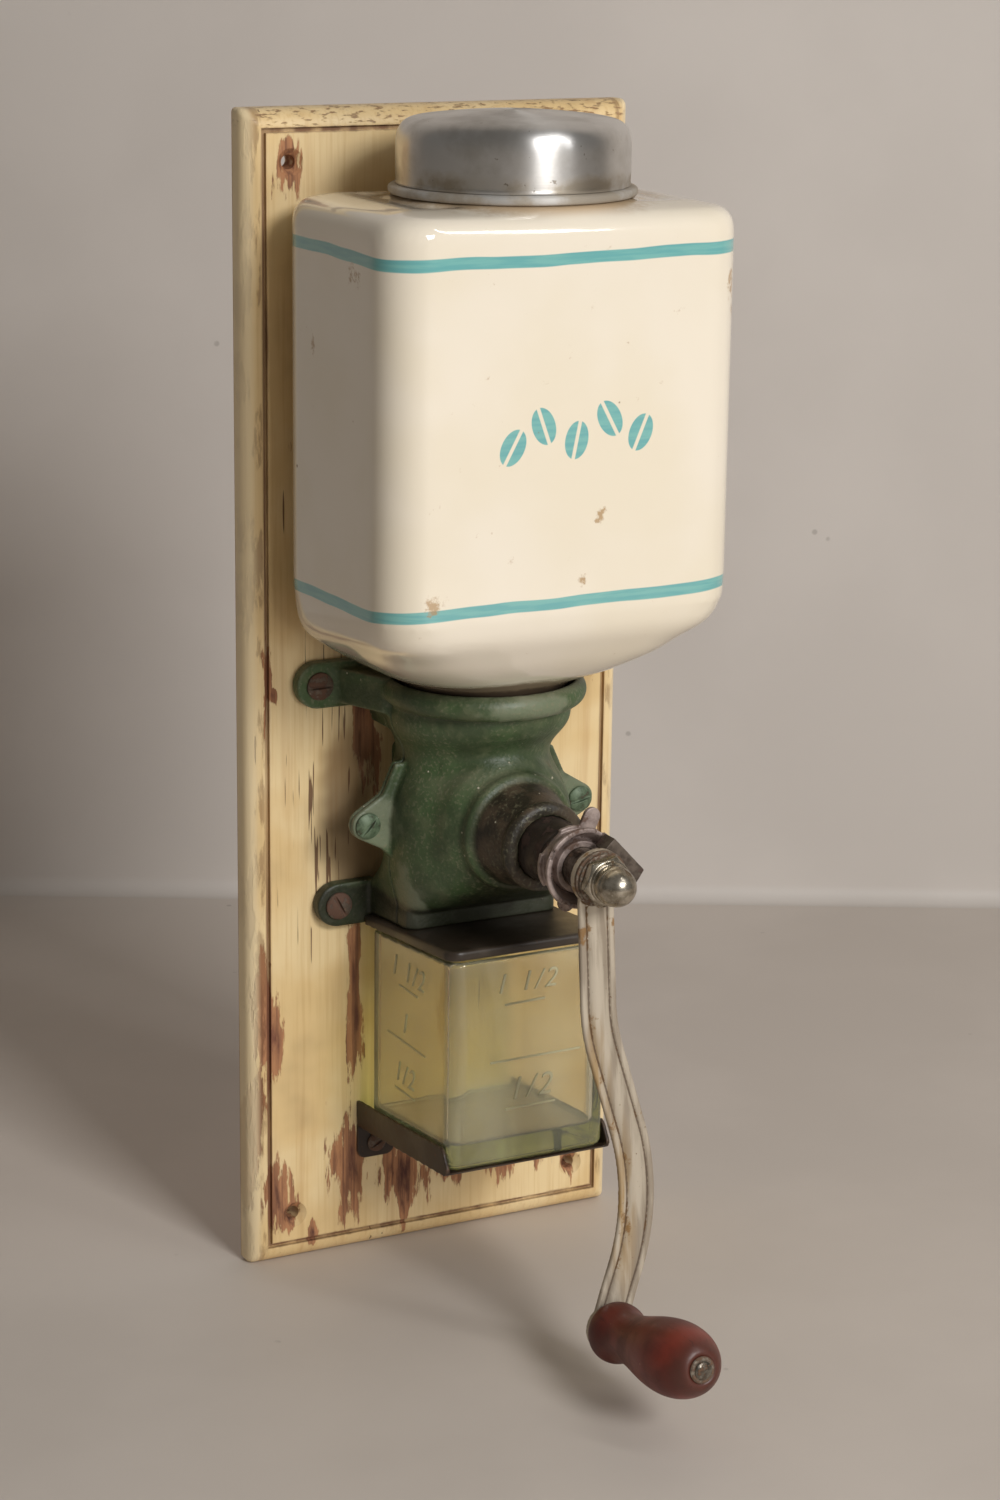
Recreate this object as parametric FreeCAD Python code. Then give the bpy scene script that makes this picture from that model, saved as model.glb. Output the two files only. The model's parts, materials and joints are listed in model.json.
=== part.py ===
import FreeCAD, Part
import math
import os
from FreeCAD import Placement, Rotation, Vector

# A wall-mounted coffee grinder: a stoneware bean jar over a two-piece cast mill on a painted board.
# Millimetres. X runs along the wall, Y into the wall and Z up.
# The origin is the middle of the board's back face.

# Board
board_width = 140.0
board_height = 394.0
board_thickness = 10.0
board_corner_radius = 1.5
rim_radius = 6.0
quirk_width = 1.6
quirk_depth = 1.5
mount_spacing_x = 108.0
mount_spacing_z = 360.0
mount_hole_radius = 2.4
mount_sink_radius = 4.5

# Mill casting
shaft_height = 164.5
casting_gap = 0.3
seam_offset = 26.0
collar_radius = 34.0
collar_height = 9.0
collar_flat = 1.0
collar_top_rise = 47.5
waist_radius = 25.6
waist_rise = 19.0
belly_radius = 29.6
belly_half_width = 31.0
belly_level = 8.0
casting_wall = 4.5
chute_half_width = 27.8
chute_depth = 35.4
chute_top_drop = 30.5
chute_wall = 4.0
throat_radius = 17.0
chamber_radius = 18.5
back_pad_half_width = 18.0
back_pad_reach = 12.0

# Ears that hold the casting to the board, and lugs that hold its two halves together
ear_thickness = 5.0
upper_ear_x = 46.4
upper_ear_rise = 41.3
upper_ear_radius = 7.9
web_depth = 21.0
web_bow = 8.5
lower_ear_x = 39.6
lower_ear_drop = 35.8
lower_ear_radius = 7.5
lug_x = 39.6
lug_drop = 1.5
lug_radius = 5.3
lug_thickness = 2.2
lug_web_x = 33.8
lug_web_rise = 9.8
lug_fin_x = 29.2
lug_fin_rise = 20.0
lug_web_drop = 9.0
lug_fin_drop = 14.0

# Horn that carries the spindle
horn_base_radius = 19.8
horn_base_reach = 61.5
horn_fillet = 4.5
horn_rim_radius = 14.7
horn_reach = 80.0
bush_radius = 10.6
bush_reach = 94.0
bush_bore_clearance = 0.05

# Burrs and spindle
journal_radius = 5.0
spindle_radius = 7.0
thread_radius = 6.5
square_side = 9.0
stud_radius = 4.0
burr_length = 15.0
burr_mouth_radius = 12.8
burr_end_radius = 16.4
burr_gap = 0.7
burr_back_offset = 11.5
ring_burr_radius = 20.5
inner_tooth_count = 14
ring_tooth_count = 20
tooth_depth = 1.5
burr_skew = 18.0
spring_wire_radius = 0.7
spring_turns = 4.5

# Pieces stacked on the spindle in front of the bush
running_gap = 0.15
thrust_washer_thickness = 1.4
adjuster_radius = 13.3
adjuster_depth = 8.9
adjuster_wall = 1.5
adjuster_flange_radius = 12.1
adjuster_flange_thickness = 1.6
adjuster_ear_reach = 18.8
adjuster_ear_width = 5.8
adjuster_notch_angle = 62.0
lock_plate_gap = 6.4
lock_plate_thickness = 1.2
lock_plate_half_width = 12.5
lock_plate_reach = 13.2
lock_plate_step = 3.7
lock_tongue_depth = 5.2
lock_plate_angle = -47.0
arm_thickness = 2.4
arm_hub_radius = 9.0
washer_radius = 9.0
washer_thickness = 1.4
cone_washer_radius = 8.2
cone_washer_thickness = 1.7
cap_nut_across_flats = 15.0
cap_nut_height = 3.6
cap_dome_radius = 6.2
cap_sleeve_length = 4.6

# Crank arm
crank_radius = 147.0
crank_angle = 1.0
arm_width = 12.6
arm_lean = 7.2
arm_bend_drop = 9.0
end_bend = 3.3
end_bend_reach = 13.0
neck_length = 41.0
swing_out = 15.7
swing_back = 21.3
bend_radius_out = 60.0
bend_radius_back = 74.0
arm_pad_radius = 7.6
rib_half_width = 3.0
groove_half_width = 0.7
groove_depth = 0.7

# Knob
knob_length = 58.0
knob_bead_radius = 9.9
knob_waist_radius = 8.0
knob_bulb_radius = 12.0
knob_end_radius = 5.4
knob_bore_clearance = 0.08
rivet_radius = 2.4
rivet_head_radius = 3.0
rivet_head_height = 1.4
rivet_washer_radius = 4.3
rivet_washer_thickness = 0.8
knob_play = 0.2

# Bean jar
jar_width = 123.6
jar_depth = 86.0
jar_back_gap = 6.7
jar_height = 127.5
jar_slope_height = 29.0
jar_corner_radius = 15.0
jar_crown = 1.5
jar_foot_tilt = 5.5
jar_seat_radius = 38.6
jar_wall = 5.0
jar_neck_radius = 27.6
jar_neck_length = 6.0
jar_mouth_radius = 30.5
jar_collar_radius = 34.0
jar_collar_height = 8.0
packing_clearance = 0.1
packing_sleeve = 2.8
packing_floor = 1.0
packing_sink = 3.0

# Neck ring and lid
ring_bead_radius = 39.4
ring_bead_height = 3.0
ring_wall = 1.2
ring_sleeve_height = 9.0
lid_radius = 37.0
lid_height = 20.2
lid_crown = 2.7
lid_shoulder_radius = 6.0
lid_wall = 1.0
lid_seat_gap = 0.1

# Cup, its cover plate and its shelf, which rise together towards the front
cup_tilt = 5.5
cup_half_width = 29.0
cup_depth = 62.7
cup_back_gap = 7.3
cup_height = 71.5
cup_corner_radius = 4.5
cup_wall = 3.2
cup_base = 8.0
cup_bottom_chamfer = 1.6
cup_rim_gap = 1.6
cup_side_gap = 0.35
cover_thickness = 1.6
cover_edge_height = 3.4
cover_half_width = 30.2
cover_corner_radius = 5.0
cover_back_gap = 0.1
shelf_sheet = 1.2
shelf_lip_height = 9.4
shelf_front_gap = 1.2
shelf_tab_width = 14.0
shelf_tab_height = 12.0

# Fasteners
wood_screw_head_radius = 4.7
wood_screw_shank_radius = 2.1
wood_screw_bite = 8.5
seam_screw_head_radius = 4.4
seam_screw_shank_radius = 2.3
small_screw_head_radius = 3.4
small_screw_shank_radius = 1.6
screw_slot_width = 1.1
hole_clearance = 0.1

# Places worked out from the driving sizes
board_face = -board_thickness
shaft_z = shaft_height - board_height / 2
seam_y = board_face - seam_offset
collar_top = shaft_z + collar_top_rise
collar_bottom = collar_top - collar_height
waist_z = shaft_z + waist_rise
chute_top = shaft_z - chute_top_drop
chute_front = board_face - casting_gap - chute_depth
jar_axis_y = board_face - jar_back_gap - jar_depth / 2
jar_slope_top = collar_top + jar_slope_height
jar_top = jar_slope_top + jar_height
collar_axis_y = board_face - casting_gap - collar_radius + collar_flat
horn_base_y = board_face - horn_base_reach
horn_front = board_face - horn_reach
bush_front = board_face - bush_reach
ring_back_y = board_face - burr_back_offset
ring_front_y = ring_back_y - burr_length
X_AXIS = Vector(1, 0, 0)
Z_AXIS = Vector(0, 0, 1)
OUT = Vector(0, -1, 0)
SHAFT = Vector(0, 0, shaft_z)


def save(name, shape):
    """Writes one sub-part."""
    shape.exportStep("parts/" + name + ".step")
    solids = shape.Solids
    print(name, "solids", len(solids), "volume", round(sum(s.Volume for s in solids), 1), shape.isValid())


def circle_axis_y(radius):
    """The Y of a round form of this radius that stands just clear of the board."""
    return board_face - casting_gap - radius


def block(x0, x1, y0, y1, z0, z1):
    """A box between two corners."""
    low = Vector(min(x0, x1), min(y0, y1), min(z0, z1))
    return Part.makeBox(abs(x1 - x0), abs(y1 - y0), abs(z1 - z0), low)


def rod(radius, y_start, y_end, x=0.0, z=shaft_z):
    """A round bar along Y between two places, with y_end further out."""
    return Part.makeCylinder(radius, y_start - y_end, Vector(x, y_start, z), OUT)


def outline(points):
    """A closed wire through points, where a pair of points in one entry is an arc's middle and end."""
    edges = []
    last = points[0]
    for entry in points[1:] + [points[0]]:
        if isinstance(entry, tuple):
            middle, end = entry
            edges.append(Part.Arc(last, middle, end).toShape())
        else:
            end = entry
            if end.distanceToPoint(last) < 1e-6:
                continue
            edges.append(Part.makeLine(last, end))
        last = end
    return Part.Wire(edges)


def turned(points, place=SHAFT):
    """A solid turned about the Y direction through place, from points of Y and radius."""
    raised = []
    for entry in points:
        if len(entry) == 2:
            raised.append(Vector(0, entry[0], entry[1]))
        else:
            raised.append((Vector(0, entry[0], entry[1]), Vector(0, entry[2], entry[3])))
    face = Part.Face(outline(raised))
    solid = face.revolve(Vector(0, 0, 0), Vector(0, 1, 0), 360)
    solid.translate(place)
    return solid


def cap(edge, radius, height):
    """The middle and end of an arc from a rim to the axis, on a sphere centred on the axis."""
    ball = (radius * radius + height * height) / (2 * abs(height))
    half = math.asin(min(1.0, radius / ball)) / 2
    centre = edge + height - math.copysign(ball, height)
    return centre + math.copysign(ball, height) * math.cos(half), ball * math.sin(half), edge + height


def thrown(points, axis_y):
    """A solid turned about the vertical line at axis_y, from points of radius and Z."""
    raised = []
    for entry in points:
        if len(entry) == 2:
            raised.append(Vector(entry[0], 0, entry[1]))
        else:
            raised.append((Vector(entry[0], 0, entry[1]), Vector(entry[2], 0, entry[3])))
    face = Part.Face(outline(raised))
    solid = face.revolve(Vector(0, 0, 0), Z_AXIS, 360)
    solid.translate(Vector(0, axis_y, 0))
    return solid


def rounded_rect(half_x, half_y, radius, axis_y, z):
    """A level rectangle with round corners, as a wire."""
    wire_points = []
    bend = radius * (1 - math.sqrt(0.5))
    corners = ((1, -1), (1, 1), (-1, 1), (-1, -1))
    for index, (sx, sy) in enumerate(corners):
        along = Vector(sx * half_x, axis_y + sy * (half_y - radius), z)
        across = Vector(sx * (half_x - radius), axis_y + sy * half_y, z)
        middle = Vector(sx * (half_x - bend), axis_y + sy * (half_y - bend), z)
        first, second = (across, along) if index % 2 == 0 else (along, across)
        wire_points.append(first)
        wire_points.append((middle, second))
    return outline(wire_points)


def slab(half_x, half_y, radius, axis_y, z0, z1):
    """An upright prism with round corners."""
    return Part.Face(rounded_rect(half_x, half_y, radius, axis_y, z0)).extrude(Vector(0, 0, z1 - z0))


def edges_where(shape, test):
    """The edges whose ends and middle all pass a test."""
    chosen = []
    for edge in shape.Edges:
        middle = edge.valueAt((edge.FirstParameter + edge.LastParameter) / 2)
        places = [vertex.Point for vertex in edge.Vertexes] + [middle]
        if all(test(place) for place in places):
            chosen.append(edge)
    return chosen


def ear(x, z, radius, base_x, base_half, y_back, y_front):
    """A flat ear: a round end at x and z, whose sides run in to a base of the casting."""
    side = 1 if x > 0 else -1
    reach = abs(x) - abs(base_x)
    lean = math.atan2(base_half - radius, reach)
    touch_x = abs(x) + radius * math.sin(lean)
    touch_z = radius * math.cos(lean)
    points = [
        Vector(side * abs(base_x), y_back, z - base_half),
        Vector(side * touch_x, y_back, z - touch_z),
        Vector(side * touch_x, y_back, z + touch_z),
        Vector(side * abs(base_x), y_back, z + base_half),
    ]
    web = Part.Face(outline(points)).extrude(Vector(0, y_front - y_back, 0))
    return web.fuse(rod(radius, y_back, y_front, x, z))


def lug_form(side, y_back, y_front):
    """A flat lug at the seam: a round end on a web that runs up and down the casting's side as a fin."""
    z = shaft_z - lug_drop
    reach = lug_x - lug_web_x
    up = math.atan2(lug_web_rise - lug_radius, reach)
    down = math.atan2(lug_web_drop - lug_radius, reach)
    places = [
        (belly_radius - 6.0, lug_fin_rise), (lug_fin_x, lug_fin_rise), (lug_web_x, lug_web_rise),
        (lug_x + lug_radius * math.sin(up), lug_radius * math.cos(up)),
        (lug_x + lug_radius * math.sin(down), -lug_radius * math.cos(down)),
        (lug_web_x, -lug_web_drop), (lug_fin_x, -lug_fin_drop), (belly_radius - 6.0, -lug_fin_drop),
    ]
    points = [Vector(side * x, y_back, z + rise) for x, rise in places]
    web = Part.Face(outline(points)).extrude(Vector(0, y_front - y_back, 0))
    return web.fuse(rod(lug_radius, y_back, y_front, side * lug_x, z))


def slotted_screw(x, face_y, z, head_radius, shank_radius, length, slot_angle):
    """A slotted screw with a low domed head, seated on a face and driven into the wall's direction."""
    edge = head_radius * 0.2
    crown = head_radius * 0.5
    middle_y, middle_radius, tip = cap(face_y - edge, head_radius, edge - crown)
    points = [
        (face_y + length, 0.0),
        (face_y + length - shank_radius, 0.35 * shank_radius),
        (face_y + length - 2.2 * shank_radius, shank_radius),
        (face_y, shank_radius),
        (face_y, head_radius),
        (face_y - edge, head_radius),
        (middle_y, middle_radius, tip, 0.0),
    ]
    screw = turned(points, Vector(x, 0, z))
    slot = block(-head_radius, head_radius, face_y - 2 * crown, face_y - 0.45 * crown,
                 -screw_slot_width / 2, screw_slot_width / 2)
    slot.rotate(Vector(0, 0, 0), Vector(0, 1, 0), -slot_angle)
    slot.translate(Vector(x, 0, z))
    return screw.cut(slot)


# Board: planed softwood with a quarter-round rim and a quirk worked all round it
def make_board():
    half_x = board_width / 2
    half_z = board_height / 2
    board = block(-half_x, half_x, 0, board_face, -half_z, half_z)
    corners = edges_where(board, lambda p: abs(abs(p.x) - half_x) < 0.01 and abs(abs(p.z) - half_z) < 0.01)
    board = board.makeFillet(board_corner_radius, corners)
    board = board.makeFillet(rim_radius, edges_where(board, lambda p: abs(p.y - board_face) < 0.01))
    inner_x = half_x - rim_radius
    inner_z = half_z - rim_radius
    groove = block(-inner_x, inner_x, board_face + quirk_depth, board_face, -inner_z, inner_z)
    island = block(-inner_x + quirk_width, inner_x - quirk_width, board_face + quirk_depth, board_face,
                   -inner_z + quirk_width, inner_z - quirk_width)
    board = board.cut(groove.cut(island))
    sink_depth = mount_sink_radius - mount_hole_radius
    for sx in (-1, 1):
        for sz in (-1, 1):
            centre = Vector(sx * mount_spacing_x / 2, 0, sz * mount_spacing_z / 2)
            hole = turned([(1, 0), (1, mount_hole_radius), (board_face + sink_depth, mount_hole_radius),
                           (board_face - 0.01, mount_sink_radius), (board_face - 1, mount_sink_radius),
                           (board_face - 1, 0)], centre)
            board = board.cut(hole)
    for x, z in housing_screw_places() + shelf_screw_places():
        radius = wood_screw_shank_radius if (x, z) in housing_screw_places() else small_screw_shank_radius
        pilot_end = board_face + wood_screw_bite + 0.3
        board = board.cut(rod(radius + hole_clearance, pilot_end, board_face - 1, x, z))
    return board


def housing_screw_places():
    """Where the four wood screws of the casting stand."""
    places = []
    for sx in (-1, 1):
        places.append((sx * upper_ear_x, shaft_z + upper_ear_rise))
        places.append((sx * lower_ear_x, shaft_z - lower_ear_drop))
    return places


# The shelf, the cup and the cover plate share one tilted plane
def tilted(shape, anchor_z):
    """Turns a shape built level about the board's face at anchor_z, so that its front rises."""
    shape.rotate(Vector(0, board_face, anchor_z), X_AXIS, -cup_tilt)
    return shape


def rise_at(y):
    """How much the tilted planes have risen at y."""
    return (board_face - y) * math.tan(math.radians(cup_tilt))


cover_top_z = shaft_z - 37.4 - rise_at(chute_front)
cover_bottom_z = cover_top_z - cover_edge_height / math.cos(math.radians(cup_tilt))
cup_axis_y = board_face - cup_back_gap - cup_depth / 2
cup_rim_z = cover_bottom_z - cup_rim_gap
cup_foot_z = cup_rim_z - cup_height
shelf_floor_z = cup_foot_z - 0.1


def shelf_screw_places():
    """Where the two wood screws of the shelf stand."""
    z = shelf_floor_z - shelf_sheet - 0.55 * shelf_tab_height
    x = cup_half_width + cup_side_gap + shelf_sheet - shelf_tab_width / 2
    return [(-x, z), (x, z)]


# Casting: one hollow form, then parted at the seam
def casting_form():
    """The outside of the casting without ears, lugs and horn: round above, square at the chute."""
    waist = waist_radius
    round_levels = [
        (collar_bottom + 3.0, collar_radius - 5.0, collar_radius - 5.0, 0.0),
        (collar_bottom - 2.5, collar_radius - 3.6, collar_radius - 4.4, 0.0),
        (collar_bottom - 8.0, waist + 4.2, waist + 2.6, 0.3),
        (collar_bottom - 13.0, waist + 1.4, waist + 0.8, 0.0),
        (waist_z, waist, waist, 0.0),
        (shaft_z + 9.0, belly_half_width - 1.6, belly_radius - 1.4, 0.0),
        (shaft_z - 1.0, belly_half_width, belly_radius, 0.0),
        (shaft_z - belly_level, belly_half_width, belly_radius, 0.0),
    ]
    sections = []
    for z, half_x, half_y, shift in round_levels:
        sections.append(rounded_rect(half_x, half_y, half_y - 0.6, circle_axis_y(half_y) - shift, z))
    for drop, share in ((0.36, 0.05), (0.62, 0.3), (0.84, 0.66), (1.0, 1.0)):
        half_x = belly_half_width + (chute_half_width - 0.6 - belly_half_width) * share
        half_y = belly_radius + (chute_depth / 2 - 0.6 - belly_radius) * share
        radius = belly_radius - 0.6 + (4.6 - belly_radius) * min(1.0, 1.15 * share)
        z = shaft_z - belly_level - (chute_top_drop + 1.5 - belly_level) * drop
        sections.append(rounded_rect(half_x, half_y, radius, board_face - casting_gap - half_y, z))
    form = Part.makeLoft(sections, True, False)
    bulge = collar_height / 2
    collar = thrown([(0, collar_bottom), (collar_radius - bulge, collar_bottom),
                     (collar_radius, collar_bottom + bulge, collar_radius - bulge, collar_top),
                     (0, collar_top)], collar_axis_y)
    chute_mid = (board_face - casting_gap + chute_front) / 2
    chute = slab(chute_half_width, chute_depth / 2, 3.5, chute_mid, cover_top_z - 5, chute_top)
    chute = chute.makeFillet(2.6, edges_where(chute, lambda p: abs(p.z - chute_top) < 0.01))
    below = block(-60, 60, board_face + 20, board_face - 120, cover_top_z, cover_top_z - 40)
    under = tilted(below, cover_top_z)
    return form.fuse([collar, chute.cut(under)])


def casting_hollow():
    """The space inside the casting: socket, throat, burr chamber and chute."""
    socket_radius = jar_neck_radius + packing_clearance + packing_sleeve
    socket_floor = collar_top - jar_neck_length - packing_floor
    axis_y = collar_axis_y
    socket = Part.makeCylinder(socket_radius, 30, Vector(0, axis_y, socket_floor), Z_AXIS)
    rings = []
    for z, radius, y in ((socket_floor + 1, jar_neck_radius - jar_wall, axis_y),
                         (waist_z, throat_radius, circle_axis_y(waist_radius) - 1.0),
                         (shaft_z, throat_radius, circle_axis_y(waist_radius) - 2.5)):
        rings.append(Part.Wire([Part.makeCircle(radius, Vector(0, y, z), Z_AXIS)]))
    throat = Part.makeLoft(rings, True, False)
    back = board_face - casting_gap - casting_wall
    horn_wall = horn_base_y + 7.0
    recess = burr_end_radius + 0.6
    chamber = turned([(back, 0), (back, recess), (ring_back_y, recess),
                      (ring_back_y, ring_burr_radius + 0.05), (ring_front_y, ring_burr_radius + 0.05),
                      (ring_front_y, chamber_radius), (horn_wall + 8.0, chamber_radius),
                      (horn_wall, bush_radius + 2.0), (horn_wall, 0)])
    chute_back = board_face - casting_gap - chute_wall
    chute = block(-chute_half_width + chute_wall, chute_half_width - chute_wall,
                  chute_back, chute_front + chute_wall, shaft_z - 26, cover_top_z - 10)
    gullet = block(-12, 12, back, ring_back_y, shaft_z - 5, shaft_z - 27)
    return socket.fuse([throat, chamber, chute, gullet])


def horn_form():
    """The horn: a stepped cone on the shaft axis, with a round edge at each step."""
    base = horn_base_radius
    flare = horn_fillet
    foot = horn_base_y + 3.0
    return turned([
        (seam_y, 0),
        (seam_y, base + flare),
        (foot + flare, base + flare),
        (foot + 0.7 * flare, base + 0.3 * flare, foot, base),
        (horn_base_y + 2.0, base), (horn_base_y + 0.6, base - 0.6, horn_base_y, base - 2.2),
        (horn_base_y - 0.2, base - 2.6),
        (horn_front + 5.0, horn_rim_radius - 0.7),
        (horn_front + 3.4, horn_rim_radius),
        (horn_front + 0.7, horn_rim_radius - 0.5, horn_front, horn_rim_radius - 2.2),
        (horn_front, 0),
    ])


def arm_web(side):
    """The thick web that carries the collar from an upper ear."""
    points = [
        Vector(side * (upper_ear_x - 2.0), board_face - casting_gap, 0),
        Vector(side * (upper_ear_x - 2.0), board_face - ear_thickness + 0.6, 0),
        Vector(side * (upper_ear_x - upper_ear_radius + 1.5), board_face - ear_thickness - 1.0, 0),
        Vector(side * (collar_radius - 1.5), collar_axis_y + 9.0, 0),
        Vector(side * (collar_radius - 12.0), collar_axis_y + 6.0, 0),
        Vector(side * (collar_radius - 12.0), board_face - casting_gap, 0),
    ]
    low = collar_top - web_depth
    web = Part.Face(outline(points)).extrude(Vector(0, 0, collar_top - 0.6 - low))
    web.translate(Vector(0, 0, low))
    hollow_x = side * (waist_radius + web_bow)
    web = web.cut(rod(web_bow, board_face + 5, board_face - 60, hollow_x, low))
    return web.cut(block(hollow_x, side * 80, board_face + 5, board_face - 60, low - 2, low + web_bow))


def make_housings():
    hollow = casting_hollow()
    form = casting_form()
    behind = block(-100, 100, board_face + 50, seam_y, -200, 200)
    ahead = block(-100, 100, seam_y, board_face - 150, -200, 200)
    lug_z = shaft_z - lug_drop

    rear = form.common(behind)
    for sx in (-1, 1):
        upper = ear(sx * upper_ear_x, shaft_z + upper_ear_rise, upper_ear_radius, collar_radius - 12.0,
                    upper_ear_radius, board_face, board_face - ear_thickness)
        lower = ear(sx * lower_ear_x, shaft_z - lower_ear_drop, lower_ear_radius, chute_half_width - 2.0,
                    lower_ear_radius, board_face, board_face - ear_thickness)
        lug = lug_form(sx, seam_y + lug_thickness, seam_y)
        rear = rear.fuse([upper, lower, lug, arm_web(sx).common(behind)])
    half = back_pad_half_width
    pad = block(-half, half, board_face, board_face - back_pad_reach, shaft_z - 22, shaft_z + 20)
    pad = pad.makeFillet(5.0, edges_where(pad, lambda p: abs(abs(p.x) - half) < 0.01
                                          and min(abs(p.z - shaft_z + 22), abs(p.z - shaft_z - 20)) < 0.01))
    rear = rear.fuse(pad)
    rear = rear.cut(hollow)
    rear = rear.cut(block(-60, 60, board_face + 60, board_face, -200, 200))
    rear = rear.fuse(rear_boss())
    rear = rear.cut(rod(journal_radius + bush_bore_clearance, board_face - 1.6, board_face - 30))
    for x, z in housing_screw_places():
        rear = rear.cut(rod(wood_screw_shank_radius + hole_clearance, board_face + 1, board_face - 20, x, z))
        face = board_face - ear_thickness
        rear = rear.cut(rod(wood_screw_head_radius + 2 * hole_clearance, face, face - 6.0, x, z))

    front = form.common(ahead)
    for sx in (-1, 1):
        lug = lug_form(sx, seam_y, seam_y - lug_thickness)
        front = front.fuse([lug, arm_web(sx).common(ahead)])
    front = front.fuse(horn_form())
    front = front.cut(hollow)
    front = front.cut(rod(bush_radius + hole_clearance, seam_y - 1, horn_front - 5))
    hole_radius = seam_screw_shank_radius + hole_clearance
    for sx in (-1, 1):
        rear = rear.cut(rod(hole_radius, seam_y + 20, seam_y - 1, sx * lug_x, lug_z))
        front = front.cut(rod(hole_radius, seam_y + 1, seam_y - 20, sx * lug_x, lug_z))
    return rear, front


def rear_boss():
    """The boss inside the back wall that carries the spindle's rear journal."""
    back = board_face - casting_gap
    return rod(journal_radius + 3.5, back, back - casting_wall - 2.5)


# Burrs: a toothed cone on the spindle inside a toothed ring in the casting
def tooth_cutter(y_back, y_front, radius_back, radius_front, depth, skew):
    """A V-shaped cutter that runs along a cone's side, turned a little about the shaft."""
    cutters = []
    for y, radius, turn in ((y_back + 0.5, radius_back, 0.0), (y_front - 0.5, radius_front, skew)):
        half = depth * 0.75
        level = radius + 0.02
        points = [Vector(-half, y, level), Vector(0, y, radius - depth), Vector(half, y, level),
                  Vector(0, y, radius + depth)]
        wire = outline(points)
        wire.rotate(Vector(0, 0, 0), Vector(0, 1, 0), turn)
        cutters.append(wire)
    return Part.makeLoft(cutters, True, True)


def make_ring_burr():
    ring = turned([(ring_back_y, burr_end_radius), (ring_back_y, ring_burr_radius),
                   (ring_front_y, ring_burr_radius), (ring_front_y, burr_mouth_radius)])
    cutter = tooth_cutter(ring_back_y, ring_front_y, burr_end_radius + tooth_depth * 0.8,
                          burr_mouth_radius + tooth_depth * 0.8, tooth_depth, -burr_skew)
    cutters = []
    for index in range(ring_tooth_count):
        copy = cutter.copy()
        copy.rotate(Vector(0, 0, 0), Vector(0, 1, 0), 360.0 * index / ring_tooth_count)
        copy.translate(SHAFT)
        cutters.append(copy)
    return ring.cut(cutters)


def make_inner_burr():
    back = ring_back_y - 0.4
    front = ring_front_y - 2.0
    slope = (burr_end_radius - burr_mouth_radius) / burr_length
    back_radius = burr_end_radius - burr_gap
    front_radius = back_radius - slope * (back - front)
    bore = journal_radius + 1.0 + bush_bore_clearance
    burr = turned([(back, bore), (back, back_radius), (front, front_radius), (front, bore)])
    cutter = tooth_cutter(back, front, back_radius, front_radius, tooth_depth, burr_skew * 1.6)
    cutters = []
    for index in range(inner_tooth_count):
        copy = cutter.copy()
        copy.rotate(Vector(0, 0, 0), Vector(0, 1, 0), 360.0 * index / inner_tooth_count)
        copy.translate(SHAFT)
        cutters.append(copy)
    return burr.cut(cutters), back, front, bore


# Stack on the spindle, worked out from the bush outwards
thrust_back = bush_front - running_gap
thrust_front = thrust_back - thrust_washer_thickness
nut_back = thrust_front - running_gap
nut_front = nut_back - adjuster_depth
plate_back = nut_front - lock_plate_gap
plate_front = plate_back - lock_plate_thickness
arm_back = plate_front
arm_front = arm_back - arm_thickness
washer_front = arm_front - washer_thickness
cone_front = washer_front - cone_washer_thickness
cap_front = cone_front - cap_nut_height


def square_bar(side, y_start, y_end):
    """A square bar on the shaft axis, turned with the crank."""
    bar = block(-side / 2, side / 2, y_start, y_end, -side / 2, side / 2)
    bar.rotate(Vector(0, 0, 0), Vector(0, 1, 0), crank_angle)
    bar.translate(SHAFT)
    return bar


def make_spindle(burr_back, burr_front):
    journal_end = board_face - 2.8
    seat = journal_radius + 1.0
    shoulder = burr_front - 0.1
    square_start = plate_back
    spindle = turned([
        (journal_end, 0), (journal_end, journal_radius - 0.6), (journal_end - 0.6, journal_radius),
        (burr_back + 1.0, journal_radius), (burr_back + 1.0, seat), (shoulder, seat),
        (shoulder, spindle_radius), (bush_front + 1.8, spindle_radius), (bush_front + 1.3, thread_radius),
        (square_start, thread_radius), (square_start, stud_radius), (cap_front - 2.0, stud_radius),
        (cap_front - 3.0, stud_radius - 1.0), (cap_front - 3.0, 0),
    ])
    square = square_bar(square_side, square_start + 0.2, arm_front + 0.3)
    rounded = rod(thread_radius - 0.3, square_start + 0.2, arm_front + 0.3)
    return spindle.fuse(square.common(rounded))


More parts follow.
